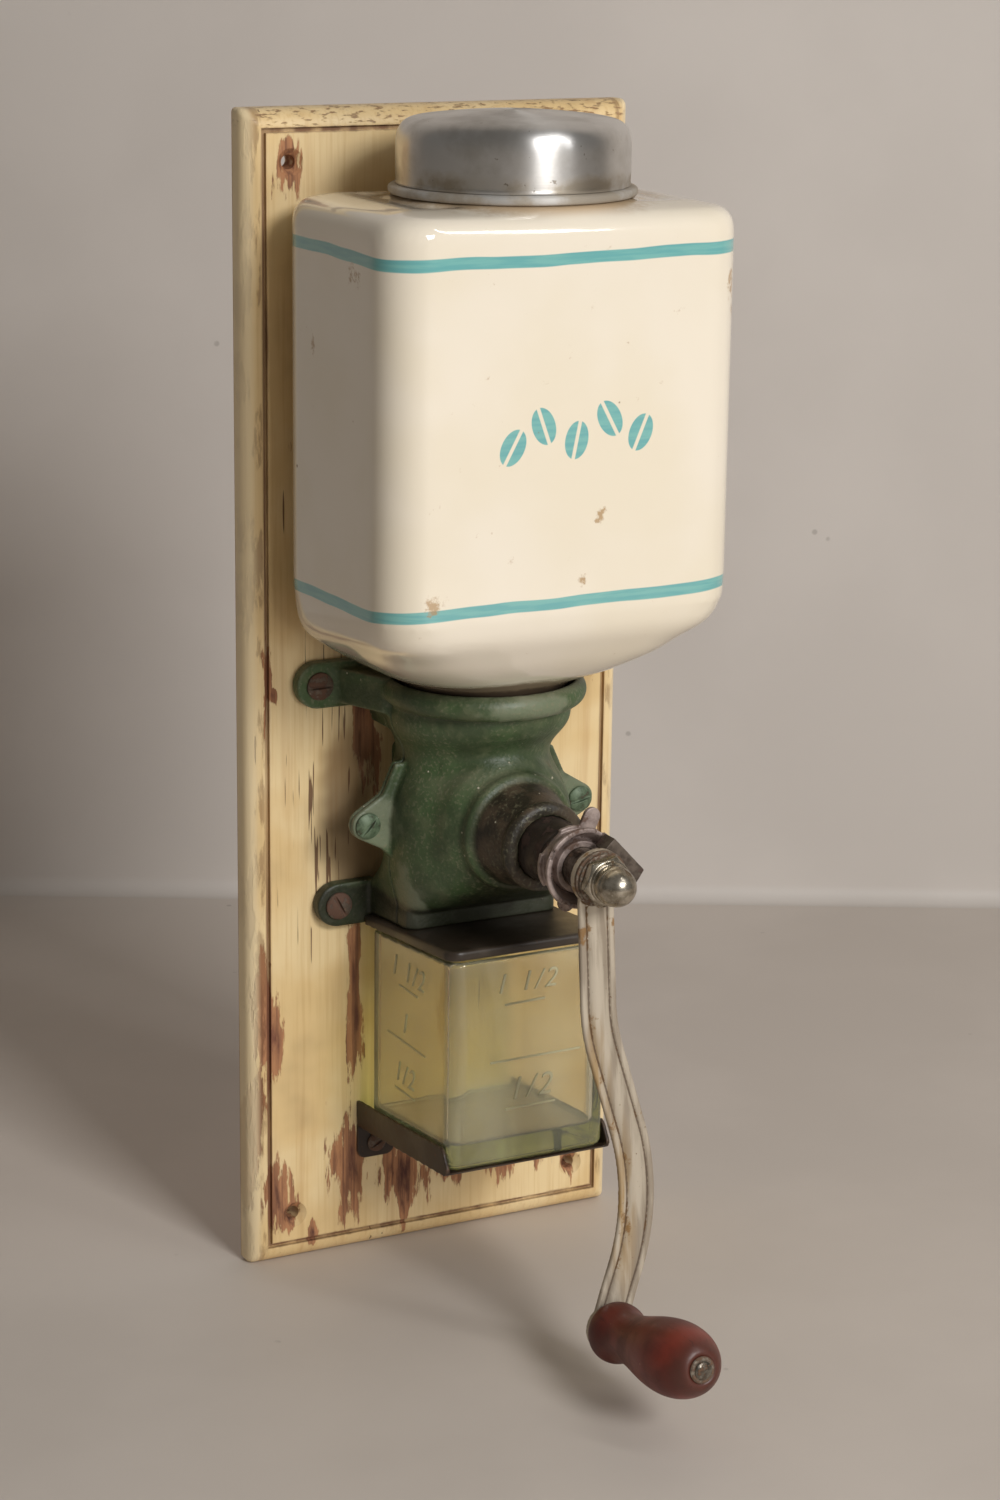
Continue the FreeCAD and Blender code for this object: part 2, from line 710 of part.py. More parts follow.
def make_adjuster():
    """A pressed cup nut on a lobed flange, with two finger ears and notches for the plate's tongue."""
    rim = adjuster_radius
    hub = thread_radius + 2.4
    bore = thread_radius + bush_bore_clearance
    flange_front = nut_back - adjuster_flange_thickness
    wall = adjuster_wall
    cup = turned([
        (nut_back, bore), (nut_back, adjuster_flange_radius), (flange_front, adjuster_flange_radius),
        (flange_front, hub + 1.8), (flange_front - 2.4, rim - 2.2, nut_front + 1.2, rim),
        (nut_front, rim - 0.2), (nut_front, rim - 0.2 - wall), (nut_front + 1.4, rim - wall),
        (flange_front - 2.6, rim - 2.2 - wall, flange_front - 1.2, hub), (nut_front + 2.2, hub - 0.4),
        (nut_front + 2.2, bore),
    ])
    cuts = []
    for angle in (136.0, 236.0, 340.0):
        cuts.append((block(-4.6, 4.6, nut_back + 1, flange_front, hub + 1.6, rim + 4.0), angle - 90.0))
    for index in range(4):
        cuts.append((block(-1.5, 1.5, nut_front + 1.6, nut_front - 1, rim - wall - 2.0, rim + 2.0),
                     90.0 * index + adjuster_notch_angle))
    for cutter, angle in cuts:
        cutter.rotate(Vector(0, 0, 0), Vector(0, 1, 0), -angle)
        cutter.translate(SHAFT)
        cup = cup.cut(cutter)
    tip_radius = adjuster_ear_width / 2
    for angle, reach in ((65.0, adjuster_ear_reach), (262.0, adjuster_ear_reach - 2.6)):
        tip = reach - tip_radius
        tab = rod(tip_radius, nut_back, flange_front, 0, tip)
        tab = tab.fuse(block(-tip_radius, tip_radius, nut_back, flange_front, hub, tip))
        tab.rotate(Vector(0, 0, 0), Vector(0, 1, 0), 90.0 - angle)
        tab.translate(SHAFT)
        cup = cup.fuse(tab)
    return cup.cut(rod(bore, nut_back + 1, nut_front - 1)).removeSplitter()


def make_lock_plate():
    """A flat plate on the spindle's square, its one wing bent back at the edge as a tongue."""
    long = lock_plate_reach
    half = lock_plate_half_width
    step = lock_plate_step
    points = [
        Vector(-step, plate_back, half), Vector(long - 1.0, plate_back, half),
        Vector(long, plate_back, half - 4.5), Vector(long - 2.0, plate_back, -step),
        Vector(0, plate_back, -step - 2.0), Vector(-step, plate_back, 0),
    ]
    plate = Part.Face(outline(points)).extrude(Vector(0, -lock_plate_thickness, 0))
    hub = Part.makeCylinder(arm_hub_radius - 0.4, lock_plate_thickness, Vector(0, plate_back, 0), OUT)
    tongue = block(-step, -step + lock_plate_thickness, plate_back + lock_tongue_depth, plate_front,
                   half - 5.0, half)
    plate = plate.fuse([hub, tongue])
    plate.rotate(Vector(0, 0, 0), Vector(0, 1, 0), -lock_plate_angle)
    plate.translate(SHAFT)
    hole = square_bar(square_side + 2 * bush_bore_clearance, plate_back + 2, plate_front - 2)
    return plate.cut(hole).removeSplitter()


def make_spring(start, end):
    """A coil on the spindle between the bush and the cone, which keeps the cone away from the ring."""
    coil_radius = spindle_radius + 0.4 + spring_wire_radius
    run = abs(start - end) - 2 * spring_wire_radius
    helix = Part.makeHelix(run / spring_turns, run, coil_radius)
    section = Part.Wire([Part.makeCircle(spring_wire_radius, Vector(coil_radius, 0, 0), Vector(0, 1, 0))])
    coil = Part.Wire(helix).makePipeShell([section], True, True)
    coil.rotate(Vector(0, 0, 0), X_AXIS, 90)
    coil.translate(Vector(0, start - spring_wire_radius, shaft_z))
    return coil


# Crank arm: a pressed strip with a raised rib between two grooves, drawn as a swan neck
def arm_path():
    """The arm's middle line in its own plane, as points down from the hub."""
    out = math.radians(swing_out)
    back = math.radians(swing_back)
    start = neck_length
    drop_out = bend_radius_out * math.sin(out)
    side_out = bend_radius_out * (1 - math.cos(out))
    drop_back = bend_radius_back * (math.sin(out) + math.sin(back))
    side_back = bend_radius_back * (math.cos(back) - math.cos(out))
    rest = crank_radius - start - drop_out - drop_back
    lean_out = math.tan(out)
    lean_back = math.tan(back)
    first = (rest * lean_back - side_out - side_back) / (lean_out + lean_back)
    a = (0.0, start)
    b = (side_out, start + drop_out)
    b_mid = (bend_radius_out * (1 - math.cos(out / 2)), start + bend_radius_out * math.sin(out / 2))
    c = (b[0] + first * lean_out, b[1] + first)
    centre = (c[0] - bend_radius_back * math.cos(out), c[1] + bend_radius_back * math.sin(out))
    mid_angle = (out - back) / 2
    c_mid = (centre[0] + bend_radius_back * math.cos(mid_angle),
             centre[1] - bend_radius_back * math.sin(mid_angle))
    d = (centre[0] + bend_radius_back * math.cos(back), centre[1] + bend_radius_back * math.sin(back))
    e = (0.0, crank_radius)
    return a, b_mid, b, c, c_mid, d, e


def arm_section(y_back):
    """The pressed strip's section across the arm, with y_back its rear face."""
    half = arm_width / 2
    flange = arm_thickness * 0.66
    front = y_back - flange
    inner = rib_half_width
    outer = rib_half_width + 2 * groove_half_width
    return [
        Vector(-half, y_back, 0), Vector(-half, front + 0.5, 0), Vector(-half + 0.5, front, 0),
        Vector(-outer, front, 0),
        Vector(-(inner + outer) / 2, front + groove_depth, 0), Vector(-inner, front, 0),
        (Vector(0, y_back - arm_thickness, 0), Vector(inner, front, 0)),
        Vector((inner + outer) / 2, front + groove_depth, 0), Vector(outer, front, 0),
        Vector(half - 0.5, front, 0), Vector(half, front + 0.5, 0), Vector(half, y_back, 0),
    ]


def lean_arm(shape):
    """Bends the arm's plane outwards below the hub, and turns the crank to its place at rest."""
    shape.rotate(Vector(0, arm_back, -arm_bend_drop), X_AXIS, -arm_lean)
    return shape


def bend_end(shape):
    """Bends the last of the arm a little further out, so that the knob stands up from square."""
    shape.rotate(Vector(0, arm_back, -crank_radius + end_bend_reach), X_AXIS, -end_bend)
    return shape


def crank_place(shape):
    """Turns a piece with the crank and moves it to the shaft."""
    shape.rotate(Vector(0, 0, 0), Vector(0, 1, 0), crank_angle)
    shape.translate(SHAFT)
    return shape


def make_crank_arm():
    a, b_mid, b, c, c_mid, d, e = [Vector(x, arm_back, -s) for x, s in arm_path()]
    start = Vector(0, arm_back, -arm_bend_drop)
    edges = [
        Part.makeLine(start, a), Part.Arc(a, b_mid, b).toShape(), Part.makeLine(b, c),
        Part.Arc(c, c_mid, d).toShape(), Part.makeLine(d, e),
    ]
    section = outline(arm_section(arm_back))
    section.translate(Vector(0, 0, -arm_bend_drop))
    strip = Part.Wire(edges).makePipeShell([section], True, False)
    strip = strip.fuse(Part.makeCylinder(arm_pad_radius, arm_thickness, e, OUT))
    bend_z = -crank_radius + end_bend_reach
    below = block(-50, 50, arm_back + 5, arm_back - 10, bend_z, -crank_radius - 50)
    end = bend_end(strip.common(below))
    strip = lean_arm(strip.cut(below).fuse(end))
    hub = Part.makeCylinder(arm_hub_radius, arm_thickness, Vector(0, arm_back, 0), OUT)
    neck = Part.Face(outline([Vector(-arm_width / 2, arm_back, 0), Vector(arm_width / 2, arm_back, 0),
                              Vector(arm_width / 2, arm_back, -arm_bend_drop - 0.15),
                              Vector(-arm_width / 2, arm_back, -arm_bend_drop - 0.15)]))
    neck = neck.extrude(Vector(0, -arm_thickness * 0.66, 0))
    arm = crank_place(strip.fuse([hub, neck]))
    arm = arm.cut(square_bar(square_side + 2 * bush_bore_clearance, arm_back + 2, arm_front - 2))
    return arm.cut(rivet_hole())


def knob_frame(shape):
    """Moves a piece built along OUT from the origin to the crank's end, square to the arm's bent end."""
    shape.translate(Vector(0, arm_front, -crank_radius))
    shape = bend_end(shape)
    shape.rotate(Vector(0, arm_back, -arm_bend_drop), X_AXIS, -arm_lean)
    return crank_place(shape)


def rivet_hole():
    return knob_frame(Part.makeCylinder(rivet_radius + 0.02, 20, Vector(0, 10, 0), OUT))


def make_knob():
    """A turned wooden pear with a bead at its small end."""
    bore = rivet_radius + knob_bore_clearance
    start = -knob_play
    end = start - knob_length
    knob = turned([
        (start, bore), (start, knob_bead_radius - 2.4),
        (start - 2.6, knob_bead_radius - 0.3, start - 5.6, knob_bead_radius - 0.1),
        (start - 9.0, knob_bead_radius - 0.8, start - 11.0, knob_waist_radius + 0.4),
        (start - 14.5, knob_waist_radius, start - 19.0, knob_waist_radius + 0.5),
        (start - 29.0, knob_bulb_radius - 1.5, start - 41.0, knob_bulb_radius),
        (start - 51.0, knob_bulb_radius - 2.0, end + 0.6, knob_end_radius),
        (end + 0.6, rivet_washer_radius + 0.4), (end + 0.9, bore),
    ], Vector(0, 0, 0))
    return knob_frame(knob)


def make_knob_rivet():
    face = -knob_play - knob_length + 0.6
    washer_face = face - rivet_washer_thickness
    middle_y, middle_radius, tip = cap(washer_face - 0.4, rivet_head_radius, 0.4 - rivet_head_height)
    rivet = turned([
        (arm_thickness + 1.0, 0), (arm_thickness + 1.0, rivet_radius + 0.9),
        (arm_thickness, rivet_radius + 1.6),
        (arm_thickness, rivet_radius), (washer_face, rivet_radius), (washer_face, rivet_head_radius),
        (washer_face - 0.4, rivet_head_radius), (middle_y, middle_radius, tip, 0),
    ], Vector(0, 0, 0))
    washer = turned([(face, rivet_radius + 0.02), (face, rivet_washer_radius - 0.2),
                     (face - 0.3, rivet_washer_radius), (washer_face, rivet_washer_radius - 0.5),
                     (washer_face, rivet_radius + 0.02)], Vector(0, 0, 0))
    return knob_frame(rivet), knob_frame(washer)


def make_cap_nut():
    """A hexagon with turned corners, a short sleeve with a bead and a domed end."""
    radius = cap_nut_across_flats / 2 / math.cos(math.radians(30))
    corners = [math.radians(60 * k + 10) for k in range(6)]
    points = [Vector(radius * math.cos(corner), 0, radius * math.sin(corner)) for corner in corners]
    hexagon = Part.Face(outline(points)).extrude(Vector(0, -cap_nut_height, 0))
    hexagon.translate(Vector(0, cone_front, shaft_z))
    drum = turned([(cone_front, 0), (cone_front, radius - 0.9), (cone_front - 0.8, radius),
                   (cap_front + 1.2, radius), (cap_front, radius - 1.6), (cap_front, 0)])
    sleeve_end = cap_front - cap_sleeve_length
    middle_y, middle_radius, tip = cap(sleeve_end, cap_dome_radius, -cap_dome_radius)
    dome = turned([
        (cap_front + 1.0, 0), (cap_front + 1.0, cap_dome_radius - 0.3),
        (sleeve_end + 2.6, cap_dome_radius - 0.4),
        (sleeve_end + 1.9, cap_dome_radius + 0.3), (sleeve_end + 0.7, cap_dome_radius + 0.3),
        (sleeve_end, cap_dome_radius), (middle_y, middle_radius, tip, 0),
    ])
    nut = hexagon.common(drum).fuse(dome)
    return nut.cut(rod(stud_radius + 0.05, cone_front + 1, cap_front - 3.2))


# Bean jar: slip-cast stoneware, square above and drawn in to a round neck below
def jar_section(inset, draw, z, slope=0.0):
    """A section of the jar, inset by its wall and drawn to the neck by 0 to 1, rising towards the front."""
    half_x = jar_width / 2 + (jar_neck_radius - jar_width / 2) * draw - inset
    half_y = jar_depth / 2 + (jar_neck_radius - jar_depth / 2) * draw - inset
    radius = jar_corner_radius + (jar_neck_radius - jar_corner_radius) * draw - inset
    axis_y = jar_axis_y + (collar_axis_y - jar_axis_y) * draw
    wire = rounded_rect(half_x, half_y, max(4.0, min(radius, half_x - 0.05, half_y - 0.05)), axis_y, z)
    if slope == 0.0:
        return wire
    rising = FreeCAD.Matrix()
    rising.A32 = -slope
    rising.A34 = slope * (axis_y + half_y)
    return wire.transformGeometry(rising)


def jar_form(inset):
    """The jar's outside where inset is 0, and its inside where inset is its wall."""
    slope = math.tan(math.radians(jar_foot_tilt))
    low = collar_top + 1.0 + inset * 0.35
    height = jar_slope_height + 2.0
    wires = []
    for rise, draw in ((1.0, 0.0), (0.82, 0.004), (0.67, 0.015), (0.55, 0.05), (0.45, 0.14), (0.34, 0.315),
                       (0.195, 0.54), (0.065, 0.77), (0.0, 0.955)):
        wires.append(jar_section(inset, draw, low + height * rise, slope * (1 - draw)))
    foot = Part.makeLoft(wires, True, False)
    back = jar_axis_y + jar_depth / 2 - inset
    front = jar_axis_y - jar_depth / 2 + inset
    level = low + height
    under = Part.Face(outline([
        Vector(-jar_width, back + 1, level - slope), Vector(-jar_width, back + 1, low),
        Vector(-jar_width, front - 1, low), Vector(-jar_width, front - 1, level + slope * (back - front + 1)),
    ])).extrude(Vector(2 * jar_width, 0, 0))
    top = jar_top - inset
    shoulder = top - 8.0
    half_x = jar_width / 2 - inset
    half_y = jar_depth / 2 - inset
    body = slab(half_x, half_y, jar_corner_radius - inset, jar_axis_y, level - 2.0, shoulder).cut(under)
    wires = []
    for drop, draw_in in ((8.0, 0.0), (6.0, 0.15), (4.0, 0.8), (2.4, 1.9), (1.1, 3.6), (0.3, 6.2),
                          (-0.33 * jar_crown, 11.0), (-0.6 * jar_crown, 17.0), (-0.85 * jar_crown, 24.0)):
        wires.append(jar_section(inset + draw_in * (1.0 - 0.04 * inset), 0.0, top - drop))
    return foot.fuse([body, Part.makeLoft(wires, True, False)])


def make_jar():
    neck = thrown([(0, collar_top - jar_neck_length), (jar_neck_radius - 0.8, collar_top - jar_neck_length),
                   (jar_neck_radius, collar_top - jar_neck_length + 0.8), (jar_neck_radius, collar_top + 1.2),
                   (0, collar_top + 1.2)], collar_axis_y)
    crest = jar_top + jar_crown
    mouth = thrown([(0, jar_top - 3), (jar_seat_radius + 0.8, jar_top - 3), (jar_seat_radius, crest),
                    (jar_collar_radius, crest), (jar_collar_radius, crest + jar_collar_height - 1.5),
                    (jar_collar_radius - 1.5, crest + jar_collar_height), (0, crest + jar_collar_height)],
                   jar_axis_y)
    jar = jar_form(0.0).fuse([neck, mouth])
    bore = Part.makeCylinder(jar_neck_radius - jar_wall, jar_neck_length + 8,
                             Vector(0, collar_axis_y, collar_top - jar_neck_length - 1), Z_AXIS)
    opening = Part.makeCylinder(jar_mouth_radius, jar_crown + jar_collar_height + jar_wall + 2,
                                Vector(0, jar_axis_y, jar_top - jar_wall - 1), Z_AXIS)
    return jar.cut(jar_form(jar_wall).fuse([bore, opening]))


def make_neck_packing():
    """The packing that beds the jar's neck in the casting's socket."""
    inner = jar_neck_radius + packing_clearance / 2
    outer = jar_neck_radius + packing_clearance / 2 + packing_sleeve
    top = collar_top - packing_sink
    floor = collar_top - jar_neck_length - packing_floor
    seat = floor + packing_floor
    bore = jar_neck_radius - jar_wall
    return thrown([(bore, floor), (outer, floor), (outer, top), (inner, top), (inner, seat), (bore, seat)],
                  collar_axis_y)


# Neck ring and lid: spun aluminium
def make_neck_ring():
    base = jar_top + jar_crown + lid_seat_gap
    inner = jar_collar_radius + 0.15
    sleeve = inner + ring_wall
    bead = ring_bead_height / 2
    return thrown([
        (inner, base), (ring_bead_radius - bead, base),
        (ring_bead_radius, base + bead, ring_bead_radius - bead, base + ring_bead_height),
        (sleeve, base + ring_bead_height), (sleeve, base + ring_sleeve_height),
        (inner, base + ring_sleeve_height),
    ], jar_axis_y)


def make_lid():
    foot = jar_top + jar_crown + ring_bead_height + 2 * lid_seat_gap
    shoulder = foot + lid_height - lid_shoulder_radius
    top = foot + lid_height
    round_in = lid_shoulder_radius
    bend = round_in * math.sqrt(0.5)
    outer = lid_radius
    inner = lid_radius - lid_wall
    rim_x = outer - round_in
    middle_z, middle_x, crest = cap(top, rim_x, lid_crown)
    return thrown([
        (outer, foot), (outer, shoulder), (rim_x + bend, shoulder + bend, rim_x, top),
        (middle_x, middle_z, 0, crest),
        (0, crest - lid_wall),
        (middle_x, middle_z - lid_wall, rim_x, top - lid_wall),
        (rim_x + bend - lid_wall * 0.7, shoulder + bend - lid_wall * 0.7, inner, shoulder),
        (inner, foot),
    ], jar_axis_y)


# Cover plate, cup and shelf
def make_cover():
    """A pressed plate over the cup, with its edge turned down and a collar up into the chute."""
    front = board_face - cup_back_gap - cup_depth - shelf_front_gap
    back = board_face - cover_back_gap
    depth = back - front
    middle = (back + front) / 2
    top = cover_top_z
    low = top - cover_edge_height
    plate = slab(cover_half_width, depth / 2, cover_corner_radius, middle, low, top)
    plate = plate.makeFillet(1.2, edges_where(plate, lambda p: abs(p.z - top) < 0.01))
    inside = slab(cover_half_width - cover_thickness, depth / 2 - cover_thickness,
                  cover_corner_radius - cover_thickness, middle, low - 1, top - cover_thickness)
    plate = plate.cut(inside)
    for side in (-1, 1):
        plate = plate.cut(block(side * (chute_half_width - 2.4), side * 60, board_face + 1,
                                board_face - ear_thickness - 0.4, low - 1, top + 1))
    plate = tilted(plate, top)
    half_x = chute_half_width - chute_wall - 0.1
    y_back = board_face - casting_gap - chute_wall - 0.1
    y_front = chute_front + chute_wall + 0.1
    collar = block(-half_x, half_x, y_back, y_front, top - 1.0, top + 9.0)
    bore = block(-half_x + 1.0, half_x - 1.0, y_back - 1.0, y_front + 1.0, top - 20.0, top + 12.0)
    above = tilted(block(-60, 60, board_face + 20, board_face - 120, top - 0.8, top - 30), top)
    return plate.fuse(collar.cut(above)).cut(bore)


def make_cup():
    """A moulded glass cup with upright walls, whose rim and foot follow the tilt."""
    walls = slab(cup_half_width, cup_depth / 2, cup_corner_radius, cup_axis_y,
                 cup_foot_z - 20, cup_rim_z + 30)
    inner = slab(cup_half_width - cup_wall, cup_depth / 2 - cup_wall, cup_corner_radius - 1.5, cup_axis_y,
                 cup_foot_z - 20, cup_rim_z + 40)
    level = math.cos(math.radians(cup_tilt))
    keep = tilted(block(-60, 60, board_face + 40, board_face - 140, cup_foot_z, cup_rim_z), cup_foot_z)
    floor_z = cup_foot_z + cup_base * level
    floor = tilted(block(-60, 60, board_face + 40, board_face - 140, cup_foot_z - 60, floor_z), cup_foot_z)
    cup = walls.common(keep)
    foot = edges_where(cup, lambda p: abs(p.z - cup_foot_z - rise_at(p.y)) < 0.02)
    cup = cup.makeChamfer(cup_bottom_chamfer, foot)
    return cup.cut(inner.cut(floor))


def make_shelf():
    """A bent sheet shelf: a floor, two side lips and two tabs down the board."""
    inner = cup_half_width + cup_side_gap
    outer = inner + shelf_sheet
    front = board_face - cup_back_gap - cup_depth - shelf_front_gap
    low = shelf_floor_z - shelf_sheet
    high = low + shelf_lip_height
    side_edge = outline([Vector(-outer, board_face - 0.2, low), Vector(-outer, front + 3.0, low),
                         (Vector(-outer, front + 0.9, low + 0.9), Vector(-outer, front, low + 3.0)),
                         Vector(-outer, front + 2.0, high - 3.0),
                         (Vector(-outer, front + 3.2, high - 0.8), Vector(-outer, front + 6.0, high)),
                         Vector(-outer, board_face - 0.2, high)])
    body = Part.Face(side_edge).extrude(Vector(2 * outer, 0, 0))
    room = block(-inner, inner, board_face + 5, front - 5, low + shelf_sheet, high + 5)
    tray = tilted(body.cut(room), shelf_floor_z)
    for sx in (-1, 1):
        edge = outer - shelf_tab_width
        tab = block(sx * edge, sx * outer, board_face, board_face - shelf_sheet,
                    shelf_floor_z - shelf_sheet / 2, low - shelf_tab_height)
        tab = tab.makeFillet(3.0, edges_where(tab, lambda p: abs(p.z - low + shelf_tab_height) < 0.01
                                              and abs(abs(p.x) - edge) < 0.01
                                              or abs(p.z - low + shelf_tab_height) < 0.01
                                              and abs(abs(p.x) - outer) < 0.01))
        tray = tray.fuse(tab)
    for x, z in shelf_screw_places():
        tray = tray.cut(rod(small_screw_shank_radius + hole_clearance, board_face + 1, board_face - 5, x, z))
    return tray.cut(block(-60, 60, board_face + 10, board_face, -200, 200))


def build():
    os.makedirs("parts", exist_ok=True)
    save("backboard", make_board())
    save("bean_jar", make_jar())
    save("neck_packing", make_neck_packing())
    save("neck_ring", make_neck_ring())
    save("lid", make_lid())

    rear, front = make_housings()
    save("housing_rear", rear)
    save("housing_front", front)
    save("cup_cover", make_cover())
    save("cup", make_cup())
    save("cup_shelf", make_shelf())

    save("ring_burr", make_ring_burr())
    inner_burr, burr_back, burr_front, burr_bore = make_inner_burr()
    save("inner_burr", inner_burr)
    save("spindle", make_spindle(burr_back, burr_front))
    save("burr_spring", make_spring(burr_front - 0.1, horn_base_y + 5.0))
    save("horn_bush", turned([
        (horn_base_y + 5.0, spindle_radius + bush_bore_clearance), (horn_base_y + 5.0, bush_radius),
        (bush_front + 0.8, bush_radius), (bush_front, bush_radius - 0.8),
        (bush_front, spindle_radius + bush_bore_clearance)]))
    save("thrust_washer", rod(bush_radius, thrust_back, thrust_front).cut(
        rod(thread_radius + 0.05, thrust_back + 1, thrust_front - 1)))
    save("adjusting_nut", make_adjuster())
    save("locking_plate", make_lock_plate())
    save("crank_arm", make_crank_arm())
    save("crank_washer", rod(washer_radius, arm_front, washer_front).cut(
        rod(stud_radius + 0.05, arm_front + 1, washer_front - 1)))
    save("cone_washer", turned([
        (washer_front, stud_radius + 0.05), (washer_front, cone_washer_radius),
        (washer_front - 1.0, cone_washer_radius), (cone_front, cone_washer_radius - 2.2),
        (cone_front, stud_radius + 0.05)]))
    save("cap_nut", make_cap_nut())
    save("knob", make_knob())
    rivet, rivet_washer = make_knob_rivet()
    save("knob_rivet", rivet)
    save("knob_washer", rivet_washer)

    ear_face = board_face - ear_thickness
    angles = (2.0, -62.0, 20.0, -35.0)
    screws = []
    for (x, z), angle in zip(housing_screw_places(), angles):
        screws.append(slotted_screw(x, ear_face, z, wood_screw_head_radius, wood_screw_shank_radius,
                                    ear_thickness + wood_screw_bite, angle))
    save("housing_screws", Part.makeCompound(screws))
    lug_z = shaft_z - lug_drop
    lug_face = seam_y - lug_thickness
    screws = [slotted_screw(sx * lug_x, lug_face, lug_z, seam_screw_head_radius, seam_screw_shank_radius,
                            2 * lug_thickness - 0.4, angle) for sx, angle in ((-1, 48.0), (1, 14.0))]
    save("seam_screws", Part.makeCompound(screws))
    screws = [slotted_screw(x, board_face - shelf_sheet, z, small_screw_head_radius, small_screw_shank_radius,
                            wood_screw_bite, angle)
              for (x, z), angle in zip(shelf_screw_places(), (30.0, 80.0))]
    save("shelf_screws", Part.makeCompound(screws))


build()
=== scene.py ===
import json
import math
import bpy
from mathutils import Matrix, Vector


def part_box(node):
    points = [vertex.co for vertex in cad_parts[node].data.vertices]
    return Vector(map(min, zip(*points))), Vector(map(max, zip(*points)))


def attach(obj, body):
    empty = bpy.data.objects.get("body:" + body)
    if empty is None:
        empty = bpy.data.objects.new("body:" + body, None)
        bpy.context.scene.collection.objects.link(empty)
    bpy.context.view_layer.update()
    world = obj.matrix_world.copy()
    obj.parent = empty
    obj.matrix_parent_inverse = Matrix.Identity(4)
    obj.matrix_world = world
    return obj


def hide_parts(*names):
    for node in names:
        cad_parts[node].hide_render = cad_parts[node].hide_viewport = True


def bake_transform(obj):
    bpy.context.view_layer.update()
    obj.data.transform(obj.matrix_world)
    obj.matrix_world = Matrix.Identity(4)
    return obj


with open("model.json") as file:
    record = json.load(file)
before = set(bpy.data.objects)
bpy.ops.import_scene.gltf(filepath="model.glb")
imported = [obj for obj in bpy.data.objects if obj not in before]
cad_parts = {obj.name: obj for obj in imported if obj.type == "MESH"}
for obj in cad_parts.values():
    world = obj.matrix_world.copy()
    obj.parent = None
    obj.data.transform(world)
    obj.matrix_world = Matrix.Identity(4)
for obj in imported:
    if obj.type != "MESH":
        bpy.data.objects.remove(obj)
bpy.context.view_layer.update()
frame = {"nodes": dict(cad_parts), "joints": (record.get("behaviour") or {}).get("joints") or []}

for spare in ("Cube", "Light", "Camera"):
    if spare in bpy.data.objects:
        bpy.data.objects.remove(bpy.data.objects[spare])


# Backboard
# A planed softwood board with a rounded rim and a quirk cut all round, painted cream in oil paint.
# The paint is brown in the quirk, cracked along the grain and gone in patches down to reddish wood. Beside the casting
# and the cup, bare patches and a brown cloud are also painted shadow, and the rim's side is painted lighter.
def srgb(code):
    """Turns an sRGB hex code into the linear colour that a shader reads."""
    parts = [int(code[i:i + 2], 16) / 255 for i in (1, 3, 5)]
    return tuple(p / 12.92 if p <= 0.04045 else ((p + 0.055) / 1.055) ** 2.4 for p in parts) + (1.0,)


def add(material, kind, links=None, **settings):
    """Adds a shader node with its settings and links, and gives back its first open output."""
    node = material.node_tree.nodes.new("ShaderNode" + kind)
    for name, value in settings.items():
        setattr(node, name, value)
    for socket, value in (links or {}).items():
        if isinstance(value, bpy.types.NodeSocket):
            material.node_tree.links.new(value, node.inputs[socket])
        else:
            node.inputs[socket].default_value = value
    return next((output for output in node.outputs if output.enabled), node)


def new_material(name):
    """An empty material, and the place of a point on the object in metres."""
    material = bpy.data.materials.new(name)
    material.use_nodes = True
    material.node_tree.nodes.clear()
    return material, add(material, "TexCoord").node.outputs["Object"]


def finish_material(material, surface, bump=None, height=0.0002, strength=0.5):
    """Gives the surface its relief, of a height in metres, and joins it to the output."""
    if bump is not None:
        relief = add(material, "Bump", {"Height": bump, "Distance": height, "Strength": strength})
        material.node_tree.links.new(relief, surface.node.inputs["Normal"])
    add(material, "OutputMaterial", {"Surface": surface})
    return material


def zone(material, place, middle, radii):
    """One in the middle of an oval zone, falling to nothing at its radii in metres."""
    moved = add(material, "Mapping", {0: place, 1: middle, 3: radii}, vector_type="TEXTURE")
    return add(material, "TexGradient", {0: moved}, gradient_type="SPHERICAL")


def give(node, material):
    """Paints a carried-over node with a material."""
    frame["nodes"][node].material_slots[0].material = material


smooth = {"interpolation_type": "SMOOTHSTEP"}
plus, less, times, most = ({"operation": word} for word in ("ADD", "SUBTRACT", "MULTIPLY", "MAXIMUM"))
scaled_plus = {"operation": "MULTIPLY_ADD"}
absolute = {"operation": "ABSOLUTE"}
colours = {"data_type": "RGBA"}
board_paint, place = new_material("old_cream_oil_paint_on_softwood")
m = board_paint
x, y, z = add(m, "SeparateXYZ", {0: place}).node.outputs
cloud = add(m, "TexNoise", {"Vector": place, "Scale": 28.0, "Detail": 3.0})
